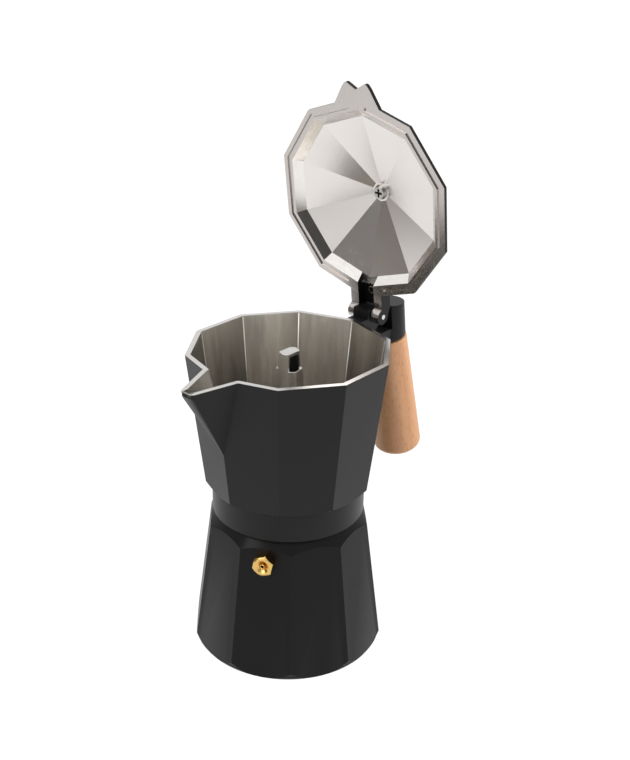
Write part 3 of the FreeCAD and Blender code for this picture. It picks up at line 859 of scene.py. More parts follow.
    def turn(
        self, name: str, profile: Outline, frame: Matrix, finish: Finish, sides: int = 96
    ) -> bpy.types.Object:
        """Turns a profile about the Z axis of a frame.

        Args:
            name: name of the piece.
            profile: radius and height of each point, in metres, in order.
            frame: matrix from the turned piece's frame to the part's frame.
            finish: its finish.
            sides: number of sides.

        Returns:
            The new piece.
        """
        shape = bmesh.new()
        rows: list[list[bmesh.types.BMVert]] = []
        for radius, height in profile:
            if radius < self.axis_gap:
                rows.append([shape.verts.new((0.0, 0.0, height))])
                continue
            row = []
            for k in range(sides):
                angle = 2.0 * math.pi * k / sides
                row.append(shape.verts.new((radius * math.cos(angle), radius * math.sin(angle), height)))
            rows.append(row)
        for low, high in zip(rows, rows[1:]):
            for k in range(sides):
                j = (k + 1) % sides
                ring = [low[k % len(low)], low[j % len(low)], high[j % len(high)], high[k % len(high)]]
                corners = list(dict.fromkeys(ring))
                if len(corners) > 2:
                    shape.faces.new(corners)
        shade_round(shape, self.turned_limit)
        shape.transform(frame)
        mesh = close_mesh(shape, name)
        mesh.materials.append(self.finish(finish))
        return self.add(mesh)


@dataclass
class Facets:
    """The ten-sided wall of a casting that widens towards one end.

    Attributes:
        radius: circumradius at height z, in metres.
        z: height of that radius.
        draft: growth of the circumradius per unit of height.
        turn: angle of the first corner in degrees.
        count: number of sides.
    """

    radius: float
    z: float
    draft: float
    turn: float = 0.0
    count: int = 10

    def flat(self, z: float) -> float:
        """Distance from the axis to the middle of a side at height z."""
        return (self.radius + self.draft * (z - self.z)) * math.cos(math.pi / self.count)

    def across(self, point: Vector) -> float:
        """Measures how far a point stands out.

        Args:
            point: the point.

        Returns:
            Its distance from the axis, square to its own side.
        """
        step = 2.0 * math.pi / self.count
        angle = math.atan2(point.y, point.x) - math.radians(self.turn)
        return math.hypot(point.x, point.y) * math.cos((angle % step) - step / 2.0)

    def inside(self, point: Vector, wall: float) -> bool:
        """True if a point lies at least wall inside the outer side."""
        return self.across(point) < self.flat(point.z) - wall


@dataclass
class Thread:
    """One start of a screw thread.

    Attributes:
        root: radius that the ridge stands on, in metres.
        crest: radius of the ridge's top.
        low: height of its start.
        turns: number of turns.
        pitch: rise per turn.
        base: width of the ridge's foot.
        top: width of its top.
        steps_per_turn: number of steps in a turn.
        run_out: number of steps over which each end fades.
        least: share of the ridge's height at its very ends.
        limit: largest angle in degrees that is shaded smooth.
    """

    root: float
    crest: float
    low: float
    turns: float
    pitch: float = 4.0 * MM
    base: float = 1.7 * MM
    top: float = 0.7 * MM
    steps_per_turn: int = 72
    run_out: float = 10.0
    least: float = 0.02
    limit: float = 25.0

    def mesh(self, name: str) -> bpy.types.Mesh:
        """Builds the ridge with run-outs at both ends.

        Args:
            name: name of the mesh.

        Returns:
            The mesh.
        """
        shape = bmesh.new()
        steps = int(self.turns * self.steps_per_turn)
        rows = []
        for k in range(steps + 1):
            angle = 2.0 * math.pi * self.turns * k / steps
            fade = min(1.0, k / self.run_out, (steps - k) / self.run_out)
            height = self.low + self.pitch * angle / (2.0 * math.pi)
            crest = self.root + (self.crest - self.root) * max(fade, self.least)
            c = math.cos(angle)
            s = math.sin(angle)
            row = []
            for radius, rise in (
                (self.root, -self.base / 2.0),
                (crest, -self.top / 2.0),
                (crest, self.top / 2.0),
                (self.root, self.base / 2.0),
            ):
                row.append(shape.verts.new((radius * c, radius * s, height + rise)))
            rows.append(row)
        for a, b in zip(rows, rows[1:]):
            for i in range(4):
                j = (i + 1) % 4
                shape.faces.new((a[i], a[j], b[j], b[i]))
        shape.faces.new(rows[0])
        shape.faces.new(list(reversed(rows[-1])))
        shade_round(shape, self.limit)
        return close_mesh(shape, name)

    def cut(self, shop: Workshop, name: str, body: str) -> None:
        """Adds the ridge as a bare piece.

        Args:
            shop: the workshop.
            name: name of the piece.
            body: the body that it rides on.
        """
        piece = shop.add(self.mesh(name))
        piece.data.materials.append(shop.finish(CAST))
        shop.mount(piece, body, "bare_aluminium")


@dataclass
class Boiler:
    """The lower vessel with its valve.

    Attributes:
        facets: its outer sides.
        wall: depth behind the outer sides from which a face is inside.
        foot_z: height below which a level face is the foot.
        inner_z: height below which an inner face has to look up.
        level: rise of a normal that counts as level.
        neck_radius: radius of the neck.
        neck_z: height of the neck's foot.
        neck_over: how far past the radius a face still counts as the neck.
        neck_under: how far within the radius a face still counts as the shoulder.
        shoulder_z: height of the shoulder.
        shoulder_drop: how far below it the turned faces reach.
        shoulder_rise: least rise of a turned face's normal.
        thread: the ridge on the neck.
        valve_angle: heading of the valve in radians.
        valve_z: height of the valve.
        coil_front: distance of the coil's fixed end along the valve, not used.
        coil_keep: share of its length that the coil has at the valve's limit, not used.
        plunger: radius and height in millimetres of the plunger's disc, stem and drilled end.
        shade_cup: the same of the dark cup in the drilled end, which paints the hole's shade.
    """

    facets: Facets = field(default_factory=lambda: Facets(52.0 * MM, 0.0, -0.137, 8.0))
    wall: float = 1.4 * MM
    foot_z: float = 0.9 * MM
    inner_z: float = 6.0 * MM
    level: float = 0.9
    neck_radius: float = 35.0 * MM
    neck_z: float = 75.7 * MM
    neck_over: float = 0.6 * MM
    neck_under: float = 0.5 * MM
    shoulder_z: float = 68.0 * MM
    shoulder_drop: float = 3.0 * MM
    shoulder_rise: float = 0.6
    thread: Thread = field(default_factory=lambda: Thread(35.0 * MM, 35.95 * MM, 79.0 * MM, 1.2))
    valve_angle: float = math.radians(-154.0)
    valve_z: float = 65.0 * MM
    coil_front: float = 2.65 * MM
    coil_keep: float = 0.818
    plunger: tuple[tuple[float, float], ...] = (
        (0.0, -5.0), (2.4, -5.0), (2.4, -4.0), (1.0, -4.0), (1.0, 0.0), (1.25, 0.4), (1.25, 5.0),
        (1.1, 5.2), (0.9, 5.2), (0.75, 5.0), (0.75, 3.2), (0.0, 3.0),
    )
    shade_cup: tuple[tuple[float, float], ...] = (
        (0.0, 3.4), (0.7, 3.4), (0.7, 5.0), (0.74, 5.0), (0.74, 3.25), (0.0, 3.25),
    )

    def label(self, centre: Vector, normal: Vector) -> Face:
        """Sorts a face of the casting.

        Args:
            centre: centre of the face.
            normal: its normal.

        Returns:
            Kind of the face.
        """
        radius = math.hypot(centre.x, centre.y)
        if centre.z < self.foot_z and normal.z < -self.level:
            return Face.FOOT
        if centre.z > self.neck_z and radius < self.neck_radius + self.neck_over:
            return Face.BARE
        high = centre.z > self.shoulder_z - self.shoulder_drop
        if normal.z > self.shoulder_rise and high and radius > self.neck_radius - self.neck_under:
            return Face.TURNED
        if self.facets.inside(centre, self.wall) and (centre.z > self.inner_z or normal.z > 0.0):
            return Face.BARE
        return Face.LACQUER

    def valve_frame(self) -> Matrix:
        """Finds the valve's place on its side of the vessel.

        Returns:
            Matrix from the valve's own frame, +Z outwards, to the part's frame.
        """
        slope = math.atan(-self.facets.draft * math.cos(math.pi / self.facets.count))
        heading = Vector((math.cos(self.valve_angle), math.sin(self.valve_angle), 0.0))
        way = heading * math.cos(slope) + Vector((0.0, 0.0, math.sin(slope)))
        seat = heading * self.facets.flat(self.valve_z) + Vector((0.0, 0.0, self.valve_z))
        return Matrix.Translation(seat) @ way.to_track_quat("Z", "Y").to_matrix().to_4x4()

    def valve(self, shop: Workshop) -> None:
        """Dresses the valve and makes its plunger and coil.

        Args:
            shop: the workshop.
        """
        place = self.valve_frame()
        brass = replace(BRASS, name="turned_valve_brass", frame=place.inverted())
        for node in ("valve_body", "valve_seat"):
            shop.dress_node(node, brass)
        plunger = shop.turn("valve_tube", in_metres(self.plunger), place, brass, 48)
        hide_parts("valve_plunger")
        shop.mount(plunger, "plunger", "brass")
        # Painted shade: a near-black cup inside the drilled end stands in for the shade in the hole.
        bore = shop.turn("valve_hole_shade", in_metres(self.shade_cup), place, PAINTED_SHADE, 32)
        shop.mount(bore, "plunger", "brass")
        coil = shop.refine(
            "valve_spring", "valve_coil", "boiler", "steel", {Face.STEEL: STEEL},
            lambda centre, normal: Face.STEEL,
        )
        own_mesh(coil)

    def build(self, shop: Workshop) -> None:
        """Makes the vessel, its thread and its valve.

        Args:
            shop: the workshop.
        """
        finishes = {
            Face.LACQUER: LACQUER, Face.TURNED: TURNED_LACQUER, Face.BARE: CAST, Face.FOOT: MACHINED
        }
        shop.refine("boiler", "boiler_casting", "boiler", "black_lacquer", finishes, self.label)
        self.thread.cut(shop, "boiler_thread", "boiler")
        self.valve(shop)


@dataclass
class Brewer:
    """Funnel, screen, gasket and filter plate.

    Attributes:
        gasket_round: width of the gasket's rounded edges.
    """

    gasket_round: float = 0.3 * MM

    def build(self, shop: Workshop) -> None:
        """Gives each pressed or moulded piece its finish.

        Args:
            shop: the workshop.
        """
        for node in ("funnel_basket", "funnel_stem", "funnel_screen", "filter_plate"):
            shop.dress_node(node, SPUN)
        shop.dress_node("gasket", RUBBER, self.gasket_round)


@dataclass
class Collector:
    """The upper vessel with its spout, column and lug.

    Attributes:
        facets: its outer sides.
        wall: depth behind the outer sides from which a face is inside.
        cup_wall: thickness of the cup.
        rim_z: height of the rim.
        rim_drop: how far below it the rim's faces reach.
        rim_rise: least rise of a rim face's normal.
        rim_inner: radius outside which a level face can be the rim.
        faced_z: height over which a level inner face is machined.
        faced_rise: least rise of such a face's normal.
        floor_z: height of the cup's floor.
        skirt_bore: radius inside the skirt.
        skirt_over: how far past that radius a face is still bare.
        lug_x: where the lug starts.
        lug_half: half of the lug's width.
        throat_x: where the spout's throat starts.
        throat_rise: least rise of a throat face's normal.
        lip_x: where the spout's lip starts.
        lip_half: half of the lip's width.
        lip_turn: how far a lip face turns inwards, along X or Z.
        lip_side: how far a lip face turns inwards, along Y.
        step_x: end of the lip's step.
        step_drop: how far below the rim the step reaches.
        beak_x: where the lip's rounded corners start.
        beak_half: half of the width between those corners.
        beak_round: width of their rounding.
        bead: middle of the bead under the lip.
        bead_radius: its radius.
        bead_half: half of its straight length.
        fillet_reach: how far a fillet reaches along each side of the cup.
        fillet_gap: distance from the fillets' top to the rim.
        fillet_corners: corners that have a fillet, counted from the handle.
        thread: the ridge in the skirt.
        small_round: width of the rounded edges of column and pin.
    """

    facets: Facets = field(default_factory=lambda: Facets(51.6 * MM, 164.0 * MM, 0.1225))
    wall: float = 1.2 * MM
    cup_wall: float = 2.6 * MM
    rim_z: float = 164.0 * MM
    rim_drop: float = 4.5 * MM
    rim_rise: float = 0.85
    rim_inner: float = 30.0 * MM
    faced_z: float = 150.0 * MM
    faced_rise: float = 0.9
    floor_z: float = 91.6 * MM
    skirt_bore: float = 36.4 * MM
    skirt_over: float = 0.8 * MM
    lug_x: float = 50.6 * MM
    lug_half: float = 5.6 * MM
    throat_x: float = -44.0 * MM
    throat_rise: float = 0.03
    lip_x: float = -56.5 * MM
    lip_half: float = 2.7 * MM
    lip_turn: float = 0.2
    lip_side: float = 0.1
    step_x: float = -66.0 * MM
    step_drop: float = 4.0 * MM
    beak_x: float = -68.5 * MM
    beak_half: float = 3.7 * MM
    beak_round: float = 1.2 * MM
    bead: Vector = field(default_factory=lambda: Vector((-68.4 * MM, 0.0, 160.6 * MM)))
    bead_radius: float = 0.85 * MM
    bead_half: float = 2.7 * MM
    fillet_reach: float = 0.3 * MM
    fillet_gap: float = 0.3 * MM
    fillet_corners: tuple[int, ...] = (0, 1, 2, 3, 7, 8, 9)
    thread: Thread = field(default_factory=lambda: Thread(36.4 * MM, 35.55 * MM, 80.2 * MM, 1.6))
    small_round: float = 0.25 * MM

    def label(self, centre: Vector, normal: Vector) -> Face:
        """Sorts a face of the casting.

        Args:
            centre: centre of the face.
            normal: its normal.

        Returns:
            Kind of the face.
        """
        radius = math.hypot(centre.x, centre.y)
        width = abs(centre.y)
        if centre.x > self.lug_x and width < self.lug_half:
            return Face.LACQUER
        inward = max(normal.x, normal.z) > self.lip_turn or normal.y * centre.y < -self.lip_side * width
        step = centre.x > self.step_x and width < self.lip_half and centre.z > self.rim_z - self.step_drop
        if centre.x < self.lip_x and (inward or step):
            return Face.RIM
        if centre.z < self.floor_z:
            return Face.BARE if radius < self.skirt_bore + self.skirt_over else Face.LACQUER
        if normal.z > self.rim_rise and centre.z > self.rim_z - self.rim_drop and radius > self.rim_inner:
            return Face.RIM
        if self.facets.inside(centre, self.wall):
            faced = normal.z > self.faced_rise and centre.z > self.faced_z
            return Face.RIM if faced else Face.BARE
        if centre.x < self.throat_x and normal.z > self.throat_rise:
            return Face.BARE
        return Face.LACQUER

    def column_label(self, centre: Vector, normal: Vector) -> Face:
        """Sorts a face of the column: faced off at its top, painted shade in its bore.

        Args:
            centre: centre of the face in the part's frame.
            normal: its normal.

        Returns:
            Kind of the face.
        """
        if normal.z > self.faced_rise and centre.z > self.faced_z:
            return Face.RIM
        return Face.PAINTED_SHADE if normal.x * centre.x + normal.y * centre.y < 0.0 else Face.BARE

    def soft(self, spot: Vector) -> float:
        """Share of the rounding: full at the corners of the lip, none elsewhere."""
        return 1.0 if spot.x < self.beak_x and abs(spot.y) > self.beak_half else 0.0

    def bead_profile(self) -> Outline:
        """Outline of the rolled bead under the lip, with round ends.

        Returns:
            Radius and height of each point.
        """
        points = []
        for k in range(13):
            angle = math.radians(15.0 * k - 90.0)
            end = self.bead_half if k > 6 else -self.bead_half
            points.append((self.bead_radius * math.cos(angle), end + self.bead_radius * math.sin(angle)))
        return points

    def fillet_ring(self, corner: int, z: float) -> list[Vector]:
        """Outline of the fillet in one inner corner of the cup.

        Args:
            corner: number of the corner, from the handle round.
            z: height of the outline.

        Returns:
            Its points: the round face, and one point behind it in the wall.
        """
        step = 2.0 * math.pi / self.facets.count
        radius = (self.facets.flat(z) - self.cup_wall) / math.cos(step / 2.0)
        angles = [step * (corner + k) for k in (-1, 0, 1)]
        before, root, after = (radius * Vector((math.cos(angle), math.sin(angle))) for angle in angles)
        start, end = (root + self.fillet_reach * (side - root).normalized() for side in (before, after))
        points = []
        for k in range(7):
            t = k / 6.0
            points.append((1.0 - t) ** 2 * start + 2.0 * t * (1.0 - t) * root + t ** 2 * end)
        points.append(root * (1.0 + self.fillet_reach / radius))
        return [Vector((point.x, point.y, z)) for point in points]

    def fillets(self) -> bpy.types.Mesh:
        """Builds the fillets of the cup's inner corners as one mesh.

        Returns:
            The mesh.
        """
        shape = bmesh.new()
        for corner in self.fillet_corners:
            low, high = (
                [shape.verts.new(point) for point in self.fillet_ring(corner, z)]
                for z in (self.floor_z, self.rim_z - self.fillet_gap)
            )
            for k in range(len(low)):
                j = (k + 1) % len(low)
                shape.faces.new((low[k], low[j], high[j], high[k])).smooth = k < len(low) - 2
            shape.faces.new(low)
            shape.faces.new(high)
        bmesh.ops.recalc_face_normals(shape, faces=shape.faces)
        return close_mesh(shape, "cup_fillets")

    def build(self, shop: Workshop) -> None:
        """Makes the vessel with its thread, bead and fillets, and its column.

        Args:
            shop: the workshop.
        """
        finishes = {Face.LACQUER: CUP_LACQUER, Face.BARE: CAST, Face.RIM: MACHINED}
        shop.refine(
            "collector", "collector_casting", "collector", "black_lacquer", finishes, self.label,
            self.beak_round, soft=self.soft,
        )
        self.thread.cut(shop, "skirt_thread", "collector")
        across = Matrix.Translation(self.bead) @ Matrix.Rotation(math.radians(90.0), 4, "X")
        lip = shop.turn("spout_lip", self.bead_profile(), across, CUP_LACQUER, 40)
        shop.mount(lip, "collector", "black_lacquer")
        corners = shop.add(self.fillets())
        corners.data.materials.append(shop.finish(FILLET))
        shop.mount(corners, "collector", "bare_aluminium")
        shop.dress_node("hinge_pin", STEEL, self.small_round)
        # The column's bore takes the painted shade.
        post = {Face.BARE: POST, Face.RIM: MACHINED, Face.PAINTED_SHADE: PAINTED_SHADE}
        shop.refine(
            "column", "column_casting", "collector", "bare_aluminium", post, self.column_label,
            self.small_round,
        )


@dataclass
class Handle:
    """The nylon bracket with its turned grip.

    Attributes:
        origin: middle of the grip's top.
        tilt: lean of the grip in degrees.
        top_radius: radius of the grip at its top.
        bottom_radius: radius that the taper has at its foot.
        length: length of the grip.
        top_round: rounding of its top edge.
        bottom_round: rounding of its foot.
        recess_radius: radius of the counterbore in its foot.
        recess_edge: chamfer of the counterbore.
        recess: depth of the counterbore.
        bolt_radius: radius of the bolt's hole.
        taper_steps: number of steps along the taper.
        bracket_round: width of the bracket's rounded edges.
        screw_round: width of the screws' rounded edges.
    """

    origin: Vector = field(default_factory=lambda: Vector((79.6 * MM, 0.0, 147.4 * MM)))
    tilt: float = 12.0
    top_radius: float = 10.8 * MM
    bottom_radius: float = 13.6 * MM
    length: float = 74.0 * MM
    top_round: float = 0.8 * MM
    bottom_round: float = 4.0 * MM
    recess_radius: float = 5.8 * MM
    recess_edge: float = 0.4 * MM
    recess: float = 7.0 * MM
    bolt_radius: float = 2.45 * MM
    taper_steps: int = 12
    bracket_round: float = 0.5 * MM
    screw_round: float = 0.15 * MM

    def frame(self) -> Matrix:
        """Matrix from the grip's own frame to the part's frame."""
        return Matrix.Translation(self.origin) @ Matrix.Rotation(math.radians(-self.tilt), 4, "Y")

    def side(self, z: float) -> float:
        """Radius of the taper at height z of the grip's frame."""
        return self.top_radius + (self.bottom_radius - self.top_radius) * -z / self.length

    def profile(self) -> Outline:
        """Outline of the grip from the bolt's hole at the top round to the counterbore.

        Returns:
            Radius and height of each point.
        """
        points = [(self.bolt_radius, 0.0)]
        for k in range(7):
            angle = math.radians(90.0 - 15.0 * k)
            points.append((
                self.top_radius - self.top_round + self.top_round * math.cos(angle),
                -self.top_round + self.top_round * math.sin(angle),
            ))
        low = -self.length + self.bottom_round
        for k in range(1, self.taper_steps):
            z = -self.top_round + (low + self.top_round) * k / self.taper_steps
            points.append((self.side(z), z))
        for k in range(13):
            angle = math.radians(7.5 * k)
            points.append((
                self.side(low) - self.bottom_round + self.bottom_round * math.cos(angle),
                low - self.bottom_round * math.sin(angle),
            ))
        points += [
            (self.recess_radius + self.recess_edge, -self.length),
            (self.recess_radius, -self.length + self.recess_edge),
            (self.recess_radius, -self.length + self.recess),
            (self.bolt_radius, -self.length + self.recess),
            (self.bolt_radius, 0.0),
        ]
        return points

    def build(self, shop: Workshop) -> None:
        """Makes the grip and dresses bracket and screws.

        Args:
            shop: the workshop.
        """
        wood = replace(OILED_BEECH, name="oiled_beech_grip", frame=self.frame().inverted())
        grip = shop.turn("beech_grip", self.profile(), self.frame(), wood)
        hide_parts("handle_grip")
        shop.mount(grip, "collector", "beech")
        shop.dress_node("handle_bracket", NYLON, self.bracket_round)
        shop.dress_node("bracket_insert", BRASS)
        for node in ("bracket_screw", "grip_washer", "grip_bolt"):
            shop.dress_node(node, STEEL, self.screw_round)


@dataclass
class Lid:
    """The hinged lid with its knob, sized in the frame of the shut lid.

    Attributes:
        pivot: middle of the hinge pin.
        open_angle: how far the lid stands open at rest, in degrees.
        facets: its outer sides.
        side_skin: depth behind the outer sides to which a face counts as outside.
        face_z: height of the lid's lower face.
        flange_depth: how far above it the flange's faces reach.
        ear_x: where the hinge ears start.
        ear_rise: rise of a normal from which an ear's face is lacquered.
        ear_side: turn of a normal along Y from which an ear's face is lacquered.
        pocket_x: where the pocket for the lug starts.
        pocket_end_x: where the pocket is lacquered all over.
        pocket_half: half of the pocket's width.
        pocket_z: height over which the pocket is lacquered.
        top_rise: rise of a normal from which a face is the lid's top.
        upright: largest rise or fall of an outer side's normal.
        pan_fall: least fall of the pan's normals.
        bevel_fall: least fall of the bevel's normals.
        bevel_radius: radius within which the bevel lies.
        screw_face: height of the knob screw's face.
        screw_skin: depth from which a face is in the cross recess.
        screw_recess: radius of the cross recess.
        mark: middle of the ring mark in the pocket.
        mark_ring: radius and height in millimetres of the ring's section.
        edge_round: width of the lid's rounded edges.
        screw_round: width of the rounded edges of screw and washer.
    """

    pivot: Vector = field(default_factory=lambda: Vector((62.0 * MM, 0.0, 165.0 * MM)))
    open_angle: float = 82.3
    facets: Facets = field(default_factory=lambda: Facets(52.8 * MM, 0.0, 0.0))
    side_skin: float = 0.4 * MM
    face_z: float = 164.2 * MM
    flange_depth: float = 1.5 * MM
    ear_x: float = 49.5 * MM
    ear_rise: float = 0.35
    ear_side: float = 0.5
    pocket_x: float = 41.0 * MM
    pocket_end_x: float = 45.5 * MM
    pocket_half: float = 5.15 * MM
    pocket_z: float = 168.6 * MM
    top_rise: float = 0.1
    upright: float = 0.5
    pan_fall: float = 0.8
    bevel_fall: float = 0.3
    bevel_radius: float = 50.0 * MM
    screw_face: float = 178.2 * MM
    screw_skin: float = 0.1 * MM
    screw_recess: float = 2.6 * MM
    mark: Vector = field(default_factory=lambda: Vector((50.4 * MM, 0.0, 169.2 * MM)))
    mark_ring: tuple[tuple[float, float], ...] = (
        (1.7, 0.1), (1.7, -0.15), (2.1, -0.15), (2.1, 0.1), (1.7, 0.1)
    )
    edge_round: float = 0.25 * MM
    screw_round: float = 0.15 * MM

    def opened(self) -> Matrix:
        """Matrix from the shut lid's frame to the part's frame at rest."""
        swing = Matrix.Rotation(math.radians(self.open_angle), 4, "Y")
        return Matrix.Translation(self.pivot) @ swing @ Matrix.Translation(-self.pivot)

    def label(self, centre: Vector, normal: Vector) -> Face:
        """Sorts a face of the casting.

        Args:
            centre: centre of the face in the part's frame.
            normal: its normal.

        Returns:
            Kind of the face.
        """
        shut = self.opened().inverted()
        spot = shut @ centre
        way = shut.to_3x3() @ normal
        pocket = abs(spot.y) < self.pocket_half
        if spot.x > self.ear_x:
            bare = way.z < self.ear_rise and abs(way.y) < self.ear_side and not pocket
            return Face.FLANGE if bare else Face.LACQUER
        if spot.x > self.pocket_x and pocket:
            deep = spot.z > self.pocket_z or spot.x > self.pocket_end_x
            return Face.LACQUER if deep else Face.PAN
        outer = self.facets.across(spot) > self.facets.flat(0.0) - self.side_skin
        if way.z > self.top_rise or (abs(way.z) < self.upright and outer):
            return Face.LACQUER
        if spot.z < self.face_z + self.flange_depth:
            return Face.FLANGE
        if way.z < -self.pan_fall:
            return Face.PAN
        within = math.hypot(spot.x, spot.y) < self.bevel_radius
        return Face.BEVEL if way.z < -self.bevel_fall and within else Face.LACQUER

    def screw_label(self, centre: Vector, normal: Vector) -> Face:
        """Sorts a face of the knob's screw: painted shade in the cross recess.

        Args:
            centre: centre of the face in the part's frame.
            normal: its normal.

        Returns:
            Kind of the face.
        """
        spot = self.opened().inverted() @ centre
        deep = spot.z > self.screw_face + self.screw_skin
        inner = math.hypot(spot.x, spot.y) < self.screw_recess
        return Face.RECESS if deep and inner else Face.STEEL

    def build(self, shop: Workshop) -> None:
        """Makes the lid and dresses its knob.

        Args:
            shop: the workshop.
        """
        shut = self.opened().inverted()
        finishes = {
            Face.LACQUER: LACQUER,
            Face.FLANGE: replace(FLANGE, frame=shut),
            Face.BEVEL: replace(BEVEL, frame=shut),
            Face.PAN: replace(PAN, frame=shut),
        }
        crisp = frozenset((Face.PAN, Face.LACQUER, Face.BEVEL))
        shop.refine(
            "lid", "lid_casting", "lid", "black_lacquer", finishes, self.label, self.edge_round, crisp
        )
        place = self.opened() @ Matrix.Translation(self.mark)
        mark = shop.turn("lid_pin_mark", in_metres(self.mark_ring), place, MACHINED, 40)
        shop.mount(mark, "lid", "black_lacquer")
        shop.dress_node("knob", replace(OILED_BEECH, name="oiled_beech_knob", frame=shut))
        shop.dress_node("knob_insert", BRASS)
        shop.dress_node("knob_washer", STEEL, self.screw_round)
        # The screw's cross recess takes the painted shade.
        shop.refine(
            "knob_screw", "knob_screw_head", "lid", "steel", {Face.STEEL: SCREW, Face.RECESS: PAINTED_SHADE},
            self.screw_label, self.screw_round,
        )


@dataclass(frozen=True)
class Lamp:
    """A soft square lamp.

    Attributes:
        name: name of the lamp.
        place: its position.
        aim: the point that it faces.
        size: side of the square in metres.
        power: watts.
        mirrored: whether shiny surfaces show it.
    """

    name: str
    place: Point
    aim: Point
    size: float
    power: float
    mirrored: bool = True

    def hang(self) -> None:
        """Adds the lamp to the scene."""
        data = bpy.data.lights.new(self.name, "AREA")
        data.size = self.size
        data.energy = self.power
        lamp = bpy.data.objects.new(self.name, data)
        way = Vector(self.aim) - Vector(self.place)
        lamp.location = self.place
        lamp.visible_glossy = self.mirrored
        lamp.rotation_euler = way.to_track_quat("-Z", "Y").to_euler()
        bpy.context.scene.collection.objects.link(lamp)


@dataclass(frozen=True)
class DimSide:
    """A dim side of the room, which the bright metal shows.

    Attributes:
        heading: direction of its middle.
        start: cosine from the middle at which it starts.
        full: cosine at which it is full.
        colour: its colour.
    """

    heading: Point
    start: float
    full: float
    colour: Colour


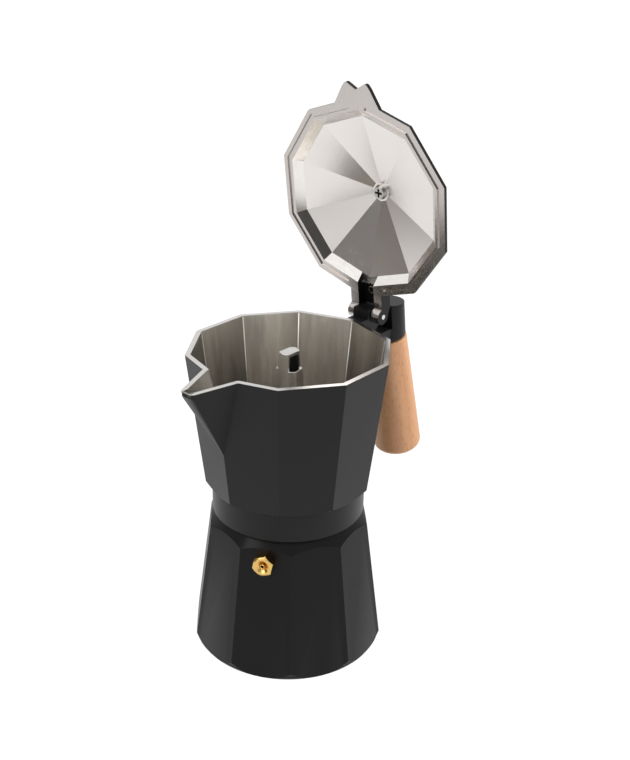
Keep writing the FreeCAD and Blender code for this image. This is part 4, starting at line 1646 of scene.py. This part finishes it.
@dataclass
class Studio:
    """Floor, lamps, surroundings and camera.

    Attributes:
        eye: camera position in metres.
        azimuth: degrees round the part, 0 looking along +Y.
        elevation: degrees above the horizon.
        roll: degrees.
        focal_px: focal length in pixels of the picture.
        picture: width and height of the picture.
        centre: the lens axis in the picture.
        sensor: width of the film in millimetres.
        clip_start: nearest distance that the camera sees.
        floor_near: edge of the floor beyond the spout.
        floor_side: edge of the floor on the far side.
        floor_far: how far the floor runs the other ways.
        floor_colour: its colour.
        floor_roughness: its roughness.
        floor_glow: strength of its own light, for the camera and for reflections.
        floor_share: share of that light in what they see.
        white: colour of the room for the camera.
        room_light: strength of the room as a light.
        lamps: the lamps.
        dim_sides: the dim sides of the room.
    """

    eye: Vector = field(default_factory=lambda: Vector((-0.37281, -0.33190, 0.37075)))
    azimuth: float = -47.97
    elevation: float = 24.16
    roll: float = 0.36
    focal_px: float = 1101.5
    picture: tuple[int, int] = (630, 760)
    centre: tuple[float, float] = (283.0, 379.0)
    sensor: float = 36.0
    clip_start: float = 0.01
    floor_near: float = -1.1
    floor_side: float = 0.8
    floor_far: float = 12.0
    floor_colour: Colour = (0.86, 0.86, 0.86)
    floor_roughness: float = 0.8
    floor_glow: float = 1.12
    floor_share: float = 0.9
    white: Colour = (1.06, 1.06, 1.06)
    room_light: float = 0.5
    lamps: tuple[Lamp, ...] = (
        Lamp("lamp_right", (0.75, -0.85, 0.75), (0.0, 0.0, 0.12), 0.8, 9.0, False),
        Lamp("lamp_left", (-0.9, 0.15, 0.7), (0.0, 0.0, 0.12), 0.6, 3.0),
        Lamp("lamp_top", (-0.1, -0.1, 1.3), (0.0, 0.0, 0.1), 0.9, 5.0),
    )
    dim_sides: tuple[DimSide, ...] = (
        DimSide((-0.829, 0.559, 0.035), 0.85, 0.94, (0.060, 0.050, 0.041)),
        DimSide((-0.434, 0.890, -0.139), 0.90, 0.98, (0.27, 0.245, 0.225)),
        DimSide((-0.70, -0.58, 0.39), 0.84, 0.95, (0.07, 0.068, 0.065)),
    )

    def camera(self) -> None:
        """Places the camera at the picture's angle."""
        data = bpy.data.cameras.new("camera")
        camera = bpy.data.objects.new("camera", data)
        bpy.context.scene.collection.objects.link(camera)
        a = math.radians(self.azimuth)
        e = math.radians(self.elevation)
        back = Vector((math.sin(a) * math.cos(e), -math.cos(a) * math.cos(e), math.sin(e)))
        right = Vector((math.cos(a), math.sin(a), 0.0))
        up = back.cross(right)
        c = math.cos(math.radians(self.roll))
        s = math.sin(math.radians(self.roll))
        axes = (c * right + s * up, c * up - s * right, back)
        turn = Matrix([[axis[i] for axis in axes] for i in range(3)])
        camera.matrix_world = Matrix.Translation(self.eye) @ turn.to_4x4()
        long_side = max(self.picture)
        data.sensor_width = self.sensor
        data.lens = self.focal_px * self.sensor / long_side
        data.shift_x = (self.picture[0] / 2.0 - self.centre[0]) / long_side
        data.shift_y = (self.centre[1] - self.picture[1] / 2.0) / long_side
        data.clip_start = self.clip_start
        bpy.context.scene.camera = camera

    @staticmethod
    def seen(graph: Graph) -> tuple[Socket, Socket]:
        """Tells which rays reach a surface.

        Args:
            graph: graph of a material or world.

        Returns:
            Sockets that are 1 for the camera's rays, and for the camera's or a reflection's.
        """
        rays = graph.add("ShaderNodeLightPath")
        camera = rays.outputs["Is Camera Ray"]
        return camera, graph.maths("MAXIMUM", camera, rays.outputs["Is Glossy Ray"])

    def floor(self) -> None:
        """Lays a pale floor that keeps the object's shadow."""
        mesh = bpy.data.meshes.new("floor")
        near, side, far = self.floor_near, self.floor_side, self.floor_far
        corners = [(near, -far, 0.0), (far, -far, 0.0), (far, side, 0.0), (near, side, 0.0)]
        mesh.from_pydata(corners, [], [(0, 1, 2, 3)])
        floor = bpy.data.objects.new("floor", mesh)
        bpy.context.scene.collection.objects.link(floor)
        material = bpy.data.materials.new("floor_white")
        material.use_nodes = True
        graph = Graph(material.node_tree)
        shader = material.node_tree.nodes["Principled BSDF"]
        shader.inputs["Base Color"].default_value = (*self.floor_colour, 1.0)
        shader.inputs["Roughness"].default_value = self.floor_roughness
        glow = graph.add("ShaderNodeEmission", Strength=self.floor_glow)
        blend = graph.add("ShaderNodeMixShader")
        graph.join(graph.maths("MULTIPLY", self.seen(graph)[1], self.floor_share), blend.inputs[0])
        graph.join(shader.outputs[0], blend.inputs[1])
        graph.join(glow.outputs[0], blend.inputs[2])
        graph.join(blend.outputs[0], material.node_tree.nodes["Material Output"].inputs["Surface"])
        mesh.materials.append(material)

    def surroundings(self) -> None:
        """Sets a white room with its dim sides."""
        world = bpy.data.worlds.new("room")
        bpy.context.scene.world = world
        world.use_nodes = True
        graph = Graph(world.node_tree)
        light = world.node_tree.nodes["Background"]
        way = graph.add("ShaderNodeTexCoord").outputs["Generated"]
        tone: object = (1.0, 1.0, 1.0)
        for side in self.dim_sides:
            cosine = graph.add("ShaderNodeVectorMath", operation="DOT_PRODUCT")
            cosine.inputs[1].default_value = side.heading
            graph.join(way, cosine.inputs[0])
            dim = graph.add("ShaderNodeMapRange", interpolation_type="SMOOTHSTEP")
            dim.inputs["From Min"].default_value = side.start
            dim.inputs["From Max"].default_value = side.full
            graph.join(cosine.outputs["Value"], dim.inputs["Value"])
            tone = graph.mix(dim.outputs["Result"], tone, side.colour)
        camera, seen = self.seen(graph)
        graph.join(graph.mix(camera, tone, self.white), light.inputs["Color"])
        graph.join(graph.range(seen, self.room_light, 1.0), light.inputs["Strength"])

    def build(self) -> None:
        """Sets up the whole studio."""
        bpy.context.scene.view_settings.view_transform = "Standard"
        self.floor()
        self.surroundings()
        for lamp in self.lamps:
            lamp.hang()
        self.camera()


def main() -> None:
    """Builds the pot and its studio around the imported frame."""
    logging.basicConfig(level=logging.INFO, format="%(name)s %(message)s")
    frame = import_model()
    shop = Workshop(frame)
    for part in (Boiler(), Brewer(), Collector(), Handle(), Lid()):
        part.build(shop)
        LOG.info("%s done", type(part).__name__)
    Studio().build()


if __name__ == "__main__":
    main()
